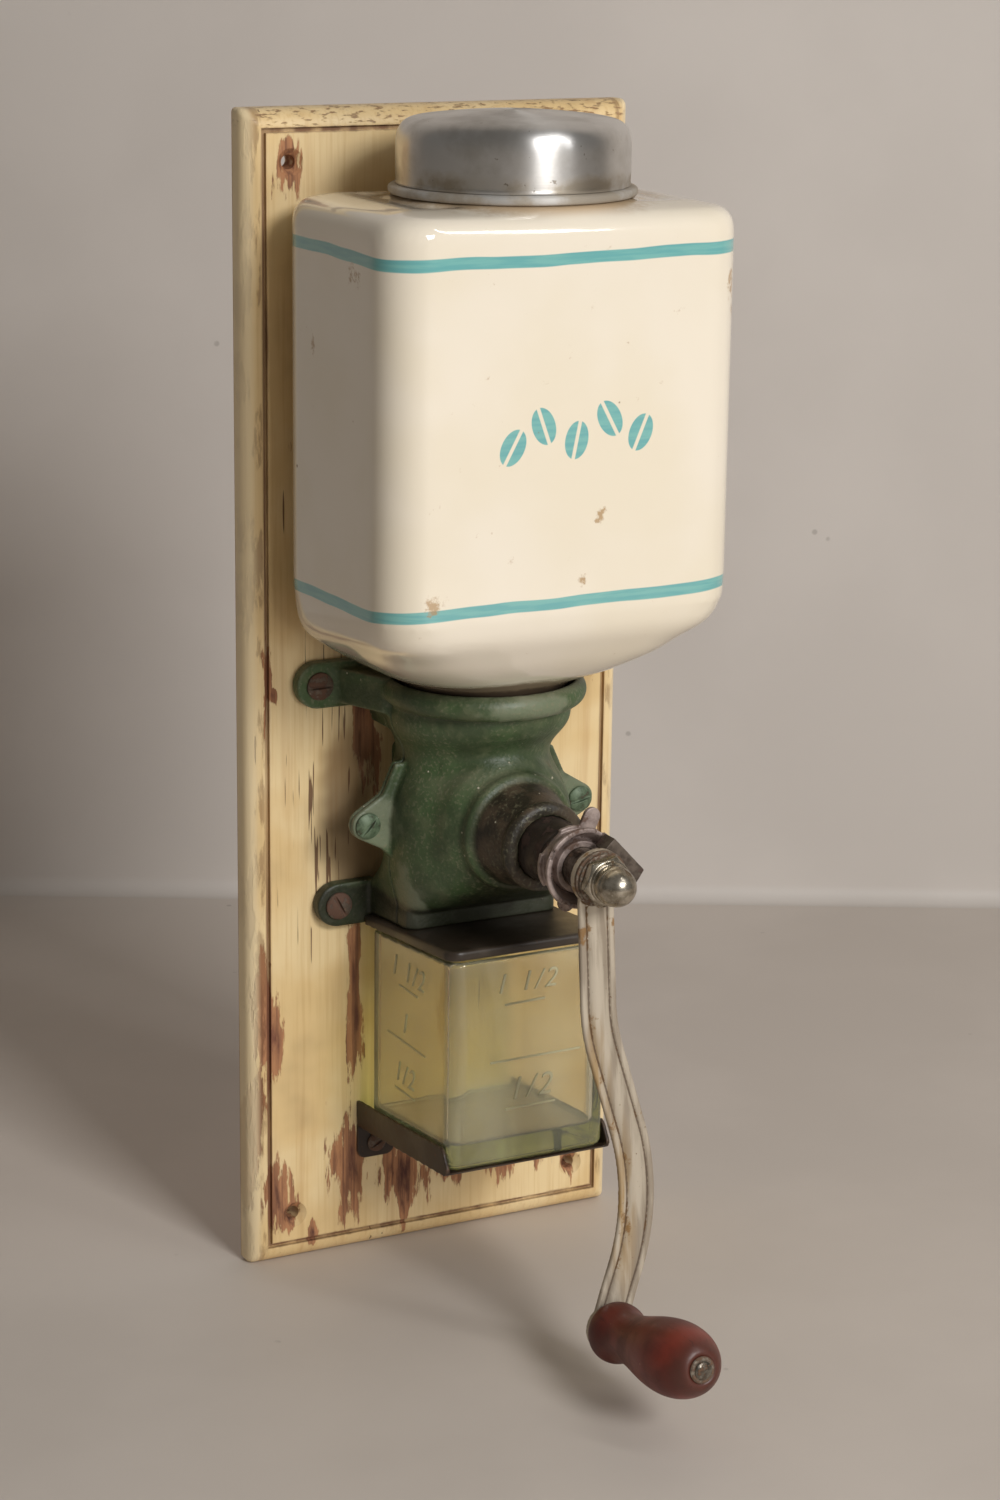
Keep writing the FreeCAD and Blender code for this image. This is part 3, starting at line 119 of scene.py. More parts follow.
# The grain runs up the board: rings about 1.2 mm apart, drawn 40 mm long. Paint leaves in flakes about
# 4 mm wide and 25 mm long, with edges that follow it. The numbers are cells per metre along X, Y and Z.
grain, streak, flakes, crack_grain, scratch = (
    add(m, "TexNoise", {"Vector": add(m, "Mapping", {0: place, 3: cells}), "Scale": 1.0, "Detail": detail,
                        "Roughness": rough})
    for cells, detail, rough in (((850, 850, 25), 5.0, 0.5), ((150, 100, 9), 4.0, 0.5), ((230, 60, 42), 8.0, 0.62),
                                 ((640, 400, 24), 2.0, 0.5), ((300, 500, 1100), 5.0, 0.5)))
weak = 0.0
# Places where the paint is thin. The strip left of the casting and the strip along the cup's left side are also
# painted shadow: their dark bare wood stands for the shade that the casting and the cup throw on the board.
for middle_x, middle_z, half_wide, half_high, share in (
        (-0.0542, 0.18, 0.0085, 0.019, 1.0), (0.054, 0.18, 0.0062, 0.012, 0.9),
        (-0.0552, -0.18, 0.0085, 0.011, 0.9), (0.053, -0.179, 0.0075, 0.015, 1.0),
        (-0.0605, -0.172, 0.009, 0.026, 1.0), (-0.0625, -0.112, 0.01, 0.044, 1.0),
        (-0.063, 0.012, 0.004, 0.032, 0.9), (-0.0612, 0.006, 0.0035, 0.006, 1.0),
        (-0.0275, -0.002, 0.011, 0.052, 1.1), (-0.0312, -0.102, 0.0058, 0.064, 1.0),
        (-0.0345, -0.166, 0.014, 0.04, 1.0), (-0.013, -0.172, 0.017, 0.027, 1.0),
        (0.006, -0.17, 0.009, 0.021, 1.0), (0.027, -0.172, 0.011, 0.021, 0.95),
        (0.042, -0.17, 0.006, 0.018, 0.9), (-0.069, -0.15, 0.0045, 0.05, 0.85),
        (-0.047, -0.188, 0.006, 0.01, 0.9), (0.059, 0.015, 0.003, 0.026, 0.9)):
    here = zone(m, place, (middle_x, -0.01, middle_z), (half_wide, 0.05, half_high))
    weak = add(m, "Math", {0: add(m, "Math", {0: here, 1: share}, **times), 1: weak}, **most)
bare_level = add(m, "Math", {0: weak, 1: 0.46, 2: flakes}, **scaled_plus)
bare = add(m, "MapRange", {0: bare_level, 1: 0.715, 2: 0.765}, **smooth)
deep = add(m, "MapRange", {0: bare_level, 1: 0.8, 2: 1.06}, **smooth)
# Cracks are 0.3 to 0.5 mm wide and up to 15 mm long, most of them left of the casting.
crack_near = add(m, "Math", {0: zone(m, place, (-0.036, -0.01, -0.01), (0.013, 0.05, 0.05)),
                             1: zone(m, place, (-0.046, -0.01, -0.045), (0.014, 0.05, 0.08))}, **most)
crack_level = add(m, "Math", {0: crack_near, 1: 0.17, 2: crack_grain}, **scaled_plus)
cracks = add(m, "MapRange", {0: crack_level, 1: 0.715, 2: 0.74}, **smooth)
# The middle of the quirk lies this far from the middle of the board.
quirk_x, quirk_z = 0.0632, 0.1902
side = add(m, "Math", {0: x}, **absolute)
rise = add(m, "Math", {0: z}, **absolute)
past_side = add(m, "Math", {0: side, 1: quirk_x}, **less)
past_rise = add(m, "Math", {0: rise, 1: quirk_z}, **less)
past_quirk = add(m, "Math", {0: past_side, 1: past_rise}, **most)
wobble = add(m, "Math", {0: flakes, 1: 0.0016, 2: -0.0008}, **scaled_plus)
quirk_far = add(m, "Math", {0: add(m, "Math", {0: past_quirk}, **absolute), 1: wobble}, **plus)
quirk = add(m, "MapRange", {0: quirk_far, 1: 0.0013, 2: 0.0003}, **smooth)
quirk_here = add(m, "MapRange", {0: streak, 1: 0.3, 2: 0.55, 3: 0.35})
quirk = add(m, "Math", {0: quirk, 1: quirk_here}, **times)
top_rim = add(m, "MapRange", {0: z, 1: 0.19, 2: 0.1922}, **smooth)
side_rim = add(m, "MapRange", {0: past_side, 1: 0.0002, 2: 0.0016}, **smooth)
top_scuffs = add(m, "Math", {0: top_rim, 1: add(m, "MapRange", {0: scratch, 1: 0.54, 2: 0.66}, **smooth)}, **times)
side_scuffs = add(m, "Math", {0: side_rim, 1: add(m, "MapRange", {0: flakes, 1: 0.5, 2: 0.6, 4: 0.7}, **smooth)},
                  **times)
scuffs = add(m, "Math", {0: top_scuffs, 1: side_scuffs}, **most)
cream = add(m, "Mix", {0: add(m, "MapRange", {0: cloud, 1: 0.4, 2: 0.6}, **smooth), 6: srgb("#EBD1A0"),
                       7: srgb("#E2C38D")}, **colours)
grain_line = add(m, "MapRange", {0: grain, 1: 0.45, 2: 0.72, 4: 0.32}, **smooth)
cream = add(m, "Mix", {0: grain_line, 6: cream, 7: srgb("#CBA56B")}, **colours)
old_streak = add(m, "MapRange", {0: streak, 1: 0.54, 2: 0.72, 4: 0.34}, **smooth)
cream = add(m, "Mix", {0: old_streak, 6: cream, 7: srgb("#BF9360")}, **colours)
wood = add(m, "Mix", {0: deep, 6: srgb("#B8835C"), 7: srgb("#6E4337")}, **colours)
wood = add(m, "Mix", {0: add(m, "MapRange", {0: grain, 1: 0.4, 2: 0.66, 4: 0.6}, **smooth), 6: wood,
                      7: srgb("#5C382E")}, **colours)
dark_foot = add(m, "MapRange", {0: z, 1: -0.15, 2: -0.168}, **smooth)
dark_stain = add(m, "Math", {0: add(m, "Math", {0: dark_foot, 1: deep}, **times), 1: 0.75}, **times)
wood = add(m, "Mix", {0: dark_stain, 6: wood, 7: srgb("#3F2624")}, **colours)
colour = add(m, "Mix", {0: bare, 6: cream, 7: wood}, **colours)
for share, mask, tone in ((0.85, cracks, "#5B3423"), (0.85, quirk, "#6E432E"), (0.75, scuffs, "#7C5334")):
    colour = add(m, "Mix", {0: add(m, "Math", {0: mask, 1: share}, **times), 6: colour, 7: srgb(tone)}, **colours)
# Brown grime and painted shadow lie beside the casting, where it throws its shade on the board. The rim's outer edge
# is painted paler as painted light, and the back is bare wood.
# Grime and painted shadow: a brown cloud darkens the board left of the casting.
grime = add(m, "Math", {0: cloud, 1: 1.1, 2: zone(m, place, (-0.034, -0.01, -0.04), (0.017, 0.05, 0.052))},
            **scaled_plus)
grime = add(m, "MapRange", {0: grime, 1: 0.62, 2: 1.15, 4: 0.72}, **smooth)
colour = add(m, "Mix", {0: grime, 6: colour, 7: srgb("#5F4229")}, **colours)
# Painted light: the rim's side face, which the lamps light little, is painted paler.
painted_light_edge = add(m, "MapRange", {0: side, 1: 0.0655, 2: 0.0685, 4: 0.75}, **smooth)
colour = add(m, "Mix", {0: painted_light_edge, 6: colour, 7: srgb("#FBE6BC")}, **colours)
back = add(m, "MapRange", {0: y, 1: -0.0006, 2: 0.0}, **smooth)
raw = add(m, "Mix", {0: add(m, "MapRange", {0: grain, 1: 0.38, 2: 0.62}, **smooth), 6: srgb("#C99A68"),
                     7: srgb("#A9774C")}, **colours)
colour = add(m, "Mix", {0: back, 6: colour, 7: raw}, **colours)
gloss = add(m, "MapRange", {0: add(m, "Math", {0: bare, 1: back}, **most), 3: 0.42, 4: 0.78})
surface = add(m, "BsdfPrincipled", {"Base Color": colour, "Roughness": gloss, "IOR": 1.48})
relief = add(m, "Math", {0: bare, 1: -0.6, 2: add(m, "Math", {0: grain, 1: 0.35}, **times)}, **scaled_plus)
relief = add(m, "Math", {0: add(m, "Math", {0: cracks, 1: scuffs}, **most), 1: -0.7, 2: relief}, **scaled_plus)
finish_material(m, surface, relief, 0.0004, 0.6)
give("backboard", board_paint)


# Mill casting
# Two halves of grey cast iron, sand cast, bolted together at a seam and enamelled dark green.
# Paint is rubbed off edges, black grease covers the horn's cone, and grains lie on what faces up. Painted sheen
# lightens what faces up and the collar's and chute's fronts, and painted shade darkens the enamel below the horn.
def softened(node, name, grain_size, passes, body, finish):
    """Copies a node, rounds its edges as casting or pressing leaves them, and finishes it.

    A grain size of 0 keeps the mesh as it is, and without a body the piece is attached to nothing.
    """
    bpy.ops.object.select_all(action="DESELECT")
    source = frame["nodes"][node]
    piece = source.copy()
    piece.data = source.data.copy()
    piece.name = name
    piece.parent = None
    for key in list(piece.keys()):
        del piece[key]
    bpy.context.scene.collection.objects.link(piece)
    bpy.context.view_layer.objects.active = piece
    piece.select_set(True)
    bpy.ops.object.mode_set(mode="EDIT")
    bpy.ops.mesh.select_all(action="SELECT")
    bpy.ops.mesh.remove_doubles(threshold=0.000002)
    bpy.ops.object.mode_set(mode="OBJECT")
    if grain_size:
        remesh = piece.modifiers.new("grain", "REMESH")
        remesh.mode = "VOXEL"
        remesh.voxel_size = grain_size
        bpy.ops.object.modifier_apply(modifier=remesh.name)
    if passes:
        smoothing = piece.modifiers.new("soft", "SMOOTH")
        smoothing.factor = 0.5
        smoothing.iterations = passes
        bpy.ops.object.modifier_apply(modifier=smoothing.name)
    bpy.ops.object.shade_smooth()
    piece.data.materials.clear()
    piece.data.materials.append(finish)
    if body:
        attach(piece, body)
    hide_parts(node)
    return piece


def pick_points(piece, chosen):
    """Opens a piece in edit mode with only its chosen points selected."""
    bpy.ops.object.select_all(action="DESELECT")
    bpy.context.view_layer.objects.active = piece
    piece.select_set(True)
    bpy.ops.object.mode_set(mode="EDIT")
    bpy.ops.mesh.select_mode(type="VERT")
    bpy.ops.mesh.select_all(action="DESELECT")
    bpy.ops.object.mode_set(mode="OBJECT")
    for point in piece.data.vertices:
        point.select = chosen(point.co)
    bpy.ops.object.mode_set(mode="EDIT")


def rub_out(piece, chosen, passes):
    """Smooths only the chosen points of a piece, as a file or a fettling wheel would."""
    pick_points(piece, chosen)
    bpy.ops.mesh.vertices_smooth(factor=0.5, repeat=passes)
    bpy.ops.object.mode_set(mode="OBJECT")


def scattered(material, place, cells, spot, pick_cells, pick, share=1.0):
    """Small spots, one to a cell, kept only where a second noise allows. Cells are counted per metre."""
    spots = add(material, "MapRange", {0: add(material, "TexVoronoi", {"Vector": place, "Scale": cells}),
                                       1: spot[0], 2: spot[1], 4: share}, **smooth)
    picked = add(material, "MapRange", {0: add(material, "TexNoise", {"Vector": place, "Scale": pick_cells}),
                                        1: pick[0], 2: pick[1]}, **smooth)
    return add(material, "Math", {0: spots, 1: picked}, **times)


shaft = (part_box("thrust_washer")[0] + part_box("thrust_washer")[1]) / 2
enamel, place = new_material("green_enamel_on_cast_iron")
m = enamel
# Sand leaves a skin of grains about 0.6 mm across, softened by the paint.
cloud, sand, lumps = (add(m, "TexNoise", {"Vector": place, "Scale": cells, "Detail": detail})
                      for cells, detail in ((42.0, 5.0), (900.0, 3.0), (150.0, 4.0)))
geometry = add(m, "NewGeometry").node.outputs
forward = add(m, "SeparateXYZ", {0: place}).node.outputs[1]
edge = add(m, "MapRange", {0: geometry["Pointiness"], 1: 0.515, 2: 0.575}, **smooth)
hollow = add(m, "MapRange", {0: geometry["Pointiness"], 1: 0.49, 2: 0.44}, **smooth)
green = add(m, "Mix", {0: add(m, "MapRange", {0: cloud, 1: 0.38, 2: 0.62}, **smooth), 6: srgb("#39462C"),
                       7: srgb("#465A37")}, **colours)
green = add(m, "Mix", {0: add(m, "MapRange", {0: lumps, 1: 0.48, 2: 0.72, 4: 0.5}, **smooth), 6: green,
                       7: srgb("#62674A")}, **colours)
worn = add(m, "Math", {0: edge, 1: add(m, "MapRange", {0: lumps, 1: 0.38, 2: 0.6}, **smooth)}, **times)
# Rubbed paint in patches on the collar's front, the chute's front and the two lugs. On the collar's front and the
# chute's front, the lighter tone is also a painted highlight where they face the light.
for middle, radii in (
        ((0.002, -0.08, 0.009), (0.03, 0.014, 0.01)), ((-0.0275, -0.0455, -0.06), (0.013, 0.013, 0.02)),
        ((0.006, -0.0475, -0.066), (0.03, 0.013, 0.012)), ((-0.0396, -0.037, -0.034), (0.017, 0.017, 0.019)),
        ((0.0396, -0.037, -0.034), (0.017, 0.017, 0.019))):
    near = add(m, "Math", {0: lumps, 1: 0.9, 2: zone(m, place, middle, radii)}, **scaled_plus)
    near = add(m, "MapRange", {0: near, 1: 0.7, 2: 0.98, 4: 0.75}, **smooth)
    worn = add(m, "Math", {0: near, 1: worn}, **most)
# Dust and painted sheen: surfaces that face up are painted lighter, partly for dust lying on them and partly for the
# light they catch.
up = add(m, "SeparateXYZ", {0: geometry["Normal"]}).node.outputs[2]
dust = add(m, "Math", {0: add(m, "MapRange", {0: up, 1: 0.3, 2: 0.95, 4: 0.5}, **smooth),
                       1: add(m, "MapRange", {0: cloud, 1: 0.4, 2: 0.6}, **smooth)}, **times)
# Soot and painted shade: the enamel below the horn, where the belly curves under, is painted darker.
soot_and_shade_under_horn = add(m, "Math", {0: lumps, 1: 0.8, 2: zone(m, place, (0.004, -0.055, -0.052), (0.034, 0.04, 0.026))},
                 **scaled_plus)
soot_and_shade_under_horn = add(m, "MapRange", {0: soot_and_shade_under_horn, 1: 0.62, 2: 1.02, 4: 0.75}, **smooth)
for share, mask, tone in ((0.7, hollow, "#20241A"), (0.75, worn, "#838871"), (1.0, dust, "#8A8570"),
                          (1.0, soot_and_shade_under_horn, "#2B281C")):
    green = add(m, "Mix", {0: add(m, "Math", {0: mask, 1: share}, **times), 6: green, 7: srgb(tone)}, **colours)
# Grease has blackened the cone of the horn inside its base ring, which is 18.5 mm from the shaft.
from_shaft = add(m, "VectorMath", {0: add(m, "Mapping", {0: place, 1: (0, 0, -shaft.z), 3: (1, 0, 1)})},
                 operation="LENGTH")
ragged = add(m, "Math", {0: cloud, 1: 0.004, 2: from_shaft}, **scaled_plus)
in_cone = add(m, "Math", {0: add(m, "MapRange", {0: ragged, 1: 0.0222, 2: 0.02}, **smooth),
                          1: add(m, "MapRange", {0: forward, 1: -0.07, 2: -0.0735}, **smooth)}, **times)
grease = add(m, "Mix", {0: add(m, "MapRange", {0: lumps, 1: 0.4, 2: 0.65}, **smooth), 6: srgb("#2A221A"),
                        7: srgb("#4B3D2F")}, **colours)
greasy = add(m, "Math", {0: in_cone, 1: add(m, "MapRange", {0: edge, 3: 0.95, 4: 0.35})}, **times)
green = add(m, "Mix", {0: greasy, 6: green, 7: grease}, **colours)
crumbs = scattered(m, place, 260.0, (0.13, 0.08), 330.0, (0.54, 0.62))
grit = add(m, "Math", {0: add(m, "MapRange", {0: sand, 1: 0.52, 2: 0.68, 4: 0.55}, **smooth),
                       1: add(m, "MapRange", {0: cloud, 1: 0.34, 2: 0.62}, **smooth)}, **times)
# The lowest few millimetres of the flange are black with coffee dust and oil.
foot = add(m, "Math", {0: lumps, 1: 0.005, 2: add(m, "SeparateXYZ", {0: place}).node.outputs[2]}, **scaled_plus)
foot = add(m, "MapRange", {0: foot, 1: -0.0575, 2: -0.0605, 4: 0.8}, **smooth)
for mask, tone in ((grit, "#7E7B62"), (crumbs, "#BDB7A0"), (foot, "#211D15")):
    green = add(m, "Mix", {0: mask, 6: green, 7: srgb(tone)}, **colours)
shine = add(m, "MapRange", {0: lumps, 1: 0.3, 2: 0.7, 3: 0.38, 4: 0.56})
surface = add(m, "BsdfPrincipled", {"Base Color": green, "Roughness": shine, "IOR": 1.5})
relief = add(m, "Math", {0: sand, 1: 0.45, 2: add(m, "Math", {0: lumps, 1: crumbs}, **plus)}, **scaled_plus)
finish_material(m, surface, relief, 0.0006, 0.7)
softened("housing_rear", "casting_rear", 0.0007, 3, "frame", enamel)
casting = softened("housing_front", "casting_front", 0.0006, 3, "frame", enamel)
# The horn's root runs into the belly in a wide smooth fillet.
root_inner, root_outer, root_front, root_back = 0.0205, 0.03, -0.0735, -0.052
rub_out(casting, lambda at: (root_inner < math.hypot(at.x, at.z - shaft.z) < root_outer
                             and root_front < at.y < root_back), 140)


# Screws of the casting
# Four slotted wood screws hold the ears to the board and two slotted screws the halves together.
# They are plain steel, browned with rust, and the two at the seam still carry green paint.
def old_metal(name, clean, dark, rust, share, metallic, rough, patch_size=0.006, rubbed="#B3AA9C"):
    """Bare or thinly coated steel: dark with oil in its hollows, rubbed at its edges, with rust in patches."""
    material, place = new_material(name)
    patch = add(material, "TexNoise", {"Vector": place, "Scale": 1 / patch_size, "Detail": 6.0, "Roughness": 0.65})
    fine = add(material, "TexNoise", {"Vector": place, "Scale": 1100.0, "Detail": 2.0})
    bend = add(material, "NewGeometry").node.outputs["Pointiness"]
    tone = add(material, "Mix", {0: add(material, "MapRange", {0: patch, 1: 0.38, 2: 0.6}, **smooth), 6: srgb(clean),
                                 7: srgb(dark)}, **colours)
    rusty = add(material, "Math", {0: fine, 1: 0.12, 2: patch}, **scaled_plus)
    rusty = add(material, "MapRange", {0: rusty, 1: 0.7 - 0.4 * share, 2: 0.76 - 0.4 * share}, **smooth)
    hollow = add(material, "MapRange", {0: bend, 1: 0.485, 2: 0.43, 4: 0.7}, **smooth)
    edge = add(material, "MapRange", {0: bend, 1: 0.525, 2: 0.59, 4: 0.6}, **smooth)
    for mask, code in ((rusty, rust), (hollow, "#1E1813"), (edge, rubbed)):
        tone = add(material, "Mix", {0: mask, 6: tone, 7: srgb(code)}, **colours)
    shine = add(material, "MapRange", {0: rusty, 3: rough, 4: 0.8})
    metal = add(material, "MapRange", {0: rusty, 3: metallic, 4: 0.15})
    surface = add(material, "BsdfPrincipled", {"Base Color": tone, "Roughness": shine, "Metallic": metal})
    relief = add(material, "Math", {0: fine, 1: 0.35, 2: rusty}, **scaled_plus)
    return finish_material(material, surface, relief, 0.00015, 0.5)


rusted_steel = old_metal("rusted_wood_screw_steel", "#6E6053", "#4B3E35", "#62483A", 0.45, 0.45, 0.5, 0.003,
                         "#8B7B6C")
painted_screw = old_metal("green_painted_screw_steel", "#65755C", "#46563F", "#4A4636", 0.2, 0.15, 0.5, 0.003,
                          "#8A967E")
softened("housing_screws", "wood_screws", 0.00024, 1, "frame", rusted_steel)
softened("seam_screws", "joint_screws", 0.0002, 1, "frame", painted_screw)


# Burrs, spindle and spring
# Inside the casting a toothed cone on the spindle turns in a toothed ring, both of hardened steel,
# and a steel spring keeps them apart. They are bare and brown with coffee oil.
hard_steel = old_metal("hardened_burr_steel", "#8A857C", "#4E463D", "#5A4433", 0.15, 0.9, 0.38, 0.004)
oiled_steel = old_metal("oiled_bright_steel", "#8C857A", "#5A5148", "#5F4A3A", 0.15, 0.9, 0.35, 0.005)
for node in ("ring_burr", "inner_burr"):
    give(node, hard_steel)
give("spindle", oiled_steel)
# The spring's front end rests against the bush and its rear end against the cone; its copy is fixed where it stands
# and attached to no body.
spring = softened("burr_spring", "parting_spring", 0, 0, None, hard_steel)
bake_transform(spring)


# Bean jar
# Slip-cast stoneware under a thick ivory glaze, with two hand-painted teal bands under the glaze.
# Old jars have iron specks, brown stains where the metal ring sits and dirt at the unglazed neck.
ivory_glaze, place = new_material("ivory_glazed_stoneware")
m = ivory_glaze
x, y, z = add(m, "SeparateXYZ", {0: place}).node.outputs
cloud = add(m, "TexNoise", {"Vector": place, "Scale": 16.0, "Detail": 3.0})
wander = add(m, "TexNoise", {"Vector": place, "Scale": 20.0, "Detail": 2.0})
brush = add(m, "TexNoise", {"Vector": add(m, "Mapping", {0: place, 3: (60, 60, 700)}), "Scale": 1.0, "Detail": 3.0})
glaze = add(m, "Mix", {0: add(m, "MapRange", {0: cloud, 1: 0.38, 2: 0.62}, **smooth), 6: srgb("#EFE4D1"),
                       7: srgb("#EBDFC8")}, **colours)
# The bands are 3.6 mm wide and were drawn by hand, so each rises or falls a little on its way round.
bands = 0.0
for level, rise_x, rise_y in ((0.1572, 0.012, 0.018), (0.0502, 0.016, -0.04)):
    line = add(m, "Math", {0: x, 1: -rise_x, 2: -level - 0.062 * rise_x - 0.1 * rise_y}, **scaled_plus)
    line = add(m, "Math", {0: y, 1: -rise_y, 2: line}, **scaled_plus)
    line = add(m, "Math", {0: line, 1: add(m, "Math", {0: wander, 1: 0.0034, 2: -0.0017}, **scaled_plus)}, **plus)
    line = add(m, "Math", {0: add(m, "Math", {0: line, 1: z}, **plus)}, **absolute)
    drawn = add(m, "MapRange", {0: line, 1: 0.00205, 2: 0.00165}, **smooth)
    bands = add(m, "Math", {0: drawn, 1: bands}, **most)
# A stencil of coffee beans on the front: ovals of 12 by 8 mm with a slit.
for bean_x, bean_z, turn in ((-0.021, 0.101, 0.5), (-0.0105, 0.107, -0.35), (0.001, 0.102, 0.2),
                             (0.0125, 0.108, -0.5), (0.0235, 0.103, 0.4)):
    bean = add(m, "Mapping", {0: place, 1: (bean_x, 0, bean_z), 2: (0, turn, 0), 3: (0.004, 9, 0.006)},
               vector_type="TEXTURE")
    oval = add(m, "MapRange", {0: add(m, "VectorMath", {0: bean}, operation="LENGTH"), 1: 1.03, 2: 0.97}, **smooth)
    slit = add(m, "Math", {0: add(m, "SeparateXYZ", {0: bean}).node.outputs[0]}, **absolute)
    slit = add(m, "MapRange", {0: slit, 1: 0.11, 2: 0.19}, **smooth)
    on_front = add(m, "MapRange", {0: y, 1: -0.096, 2: -0.1}, **smooth)
    shape = add(m, "Math", {0: add(m, "Math", {0: oval, 1: slit}, **times), 1: on_front}, **times)
    bands = add(m, "Math", {0: shape, 1: bands}, **most)
teal = add(m, "Mix", {0: add(m, "MapRange", {0: brush, 1: 0.36, 2: 0.64}, **smooth), 6: srgb("#5CA9AA"),
                      7: srgb("#6FB5B0")}, **colours)
glaze = add(m, "Mix", {0: add(m, "Math", {0: bands, 1: 0.94}, **times), 6: glaze, 7: teal}, **colours)
specks = scattered(m, place, 75.0, (0.05, 0.028), 48.0, (0.54, 0.6))
glaze = add(m, "Mix", {0: specks, 6: glaze, 7: srgb("#8A6A45")}, **colours)
# Brown stains beside the bands and round the metal ring, some 5 to 15 mm across.
stain = add(m, "TexNoise", {"Vector": place, "Scale": 210.0, "Detail": 6.0, "Roughness": 0.7})
stained = 0.0
for middle, radii in (((-0.047, -0.103, 0.054), (0.006, 0.02, 0.005)), ((-0.061, -0.075, 0.152), (0.02, 0.008, 0.006)),
                      ((0.058, -0.103, 0.146), (0.006, 0.02, 0.017)), ((0.004, -0.103, 0.058), (0.005, 0.02, 0.004)),
                      ((-0.062, -0.045, 0.128), (0.02, 0.003, 0.007)), ((0.01, -0.103, 0.078), (0.003, 0.02, 0.004))):
    near = add(m, "Math", {0: zone(m, place, middle, radii), 1: 0.3, 2: stain}, **scaled_plus)
    stained = add(m, "Math", {0: add(m, "MapRange", {0: near, 1: 0.66, 2: 0.8}, **smooth), 1: stained}, **most)
ring_low, ring_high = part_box("neck_ring")
mouth = (ring_low + ring_high) / 2
from_ring = add(m, "VectorMath", {0: add(m, "Mapping", {0: place, 1: (-mouth.x, -mouth.y, 0), 3: (1, 1, 0)})},
                operation="LENGTH")
from_ring = add(m, "Math", {0: add(m, "Math", {0: stain, 1: wander}, **plus), 1: -0.022, 2: from_ring}, **scaled_plus)
yellow = add(m, "MapRange", {0: from_ring, 1: 0.029, 2: 0.018}, **smooth)
yellow = add(m, "Math", {0: yellow, 1: add(m, "MapRange", {0: z, 1: 0.169, 2: 0.1725}, **smooth)}, **times)
stained = add(m, "Math", {0: add(m, "Math", {0: yellow, 1: 0.8}, **times), 1: stained}, **most)
# A brown film lies on the jar's top, and its neck is dirty with a dark line where it enters the casting.
film = add(m, "Math", {0: add(m, "MapRange", {0: z, 1: 0.17, 2: 0.1745}, **smooth),
                       1: add(m, "MapRange", {0: cloud, 1: 0.3, 2: 0.6, 3: 0.12, 4: 0.42})}, **times)
neck_level = add(m, "Math", {0: stain, 1: 0.003, 2: z}, **scaled_plus)
neck_dirt = add(m, "MapRange", {0: neck_level, 1: 0.0232, 2: 0.0208}, **smooth)
neck_line = add(m, "MapRange", {0: neck_level, 1: 0.019, 2: 0.0172}, **smooth)
for share, mask, tone in ((0.75, stained, "#A87F45"), (1.0, film, "#B59B74"), (0.85, neck_dirt, "#7C684B"),
                          (0.8, neck_line, "#3E2F22")):
    glaze = add(m, "Mix", {0: add(m, "Math", {0: mask, 1: share}, **times), 6: glaze, 7: srgb(tone)}, **colours)
shine = add(m, "MapRange", {0: neck_dirt, 3: 0.1, 4: 0.55})
surface = add(m, "BsdfPrincipled", {"Base Color": glaze, "Roughness": shine, "IOR": 1.52, "Coat Weight": 0.8,
                                    "Coat Roughness": 0.03})
relief = add(m, "Math", {0: bands, 1: 0.03, 2: wander}, **scaled_plus)
finish_material(m, surface, relief, 0.0006, 0.25)
jar = softened("bean_jar", "hopper_jar", 0.0014, 14, "frame", ivory_glaze)
# The belly above the neck swells by this much, and the swelling fades out within this reach.
jar_low, jar_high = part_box("bean_jar")
belly_low, belly_high, swell, reach = 0.023, 0.027, 1.06, 0.015
pick_points(jar, lambda at: belly_low < at.z < belly_high)
bpy.ops.transform.resize(value=(swell, swell, 1.0), center_override=(jar_low + jar_high) / 2,
                         use_proportional_edit=True, proportional_edit_falloff="SMOOTH", proportional_size=reach)
bpy.ops.object.mode_set(mode="OBJECT")
rub_out(jar, lambda at: at.z < 0.046, 34)


# Packing under the jar's neck
# A strip of felt beds the neck in the casting's socket. It is brown and matted with coffee dust.
felt, place = new_material("brown_felt_with_coffee_dust")
hair = add(felt, "TexNoise", {"Vector": place, "Scale": 1400.0, "Detail": 4.0})
tone = add(felt, "Mix", {0: add(felt, "MapRange", {0: hair, 1: 0.38, 2: 0.62}, **smooth), 6: srgb("#55402C"),
                         7: srgb("#2A1D14")}, **colours)
surface = add(felt, "BsdfPrincipled", {"Base Color": tone, "Roughness": 0.95})
finish_material(felt, surface, hair, 0.0004, 0.8)
give("neck_packing", felt)


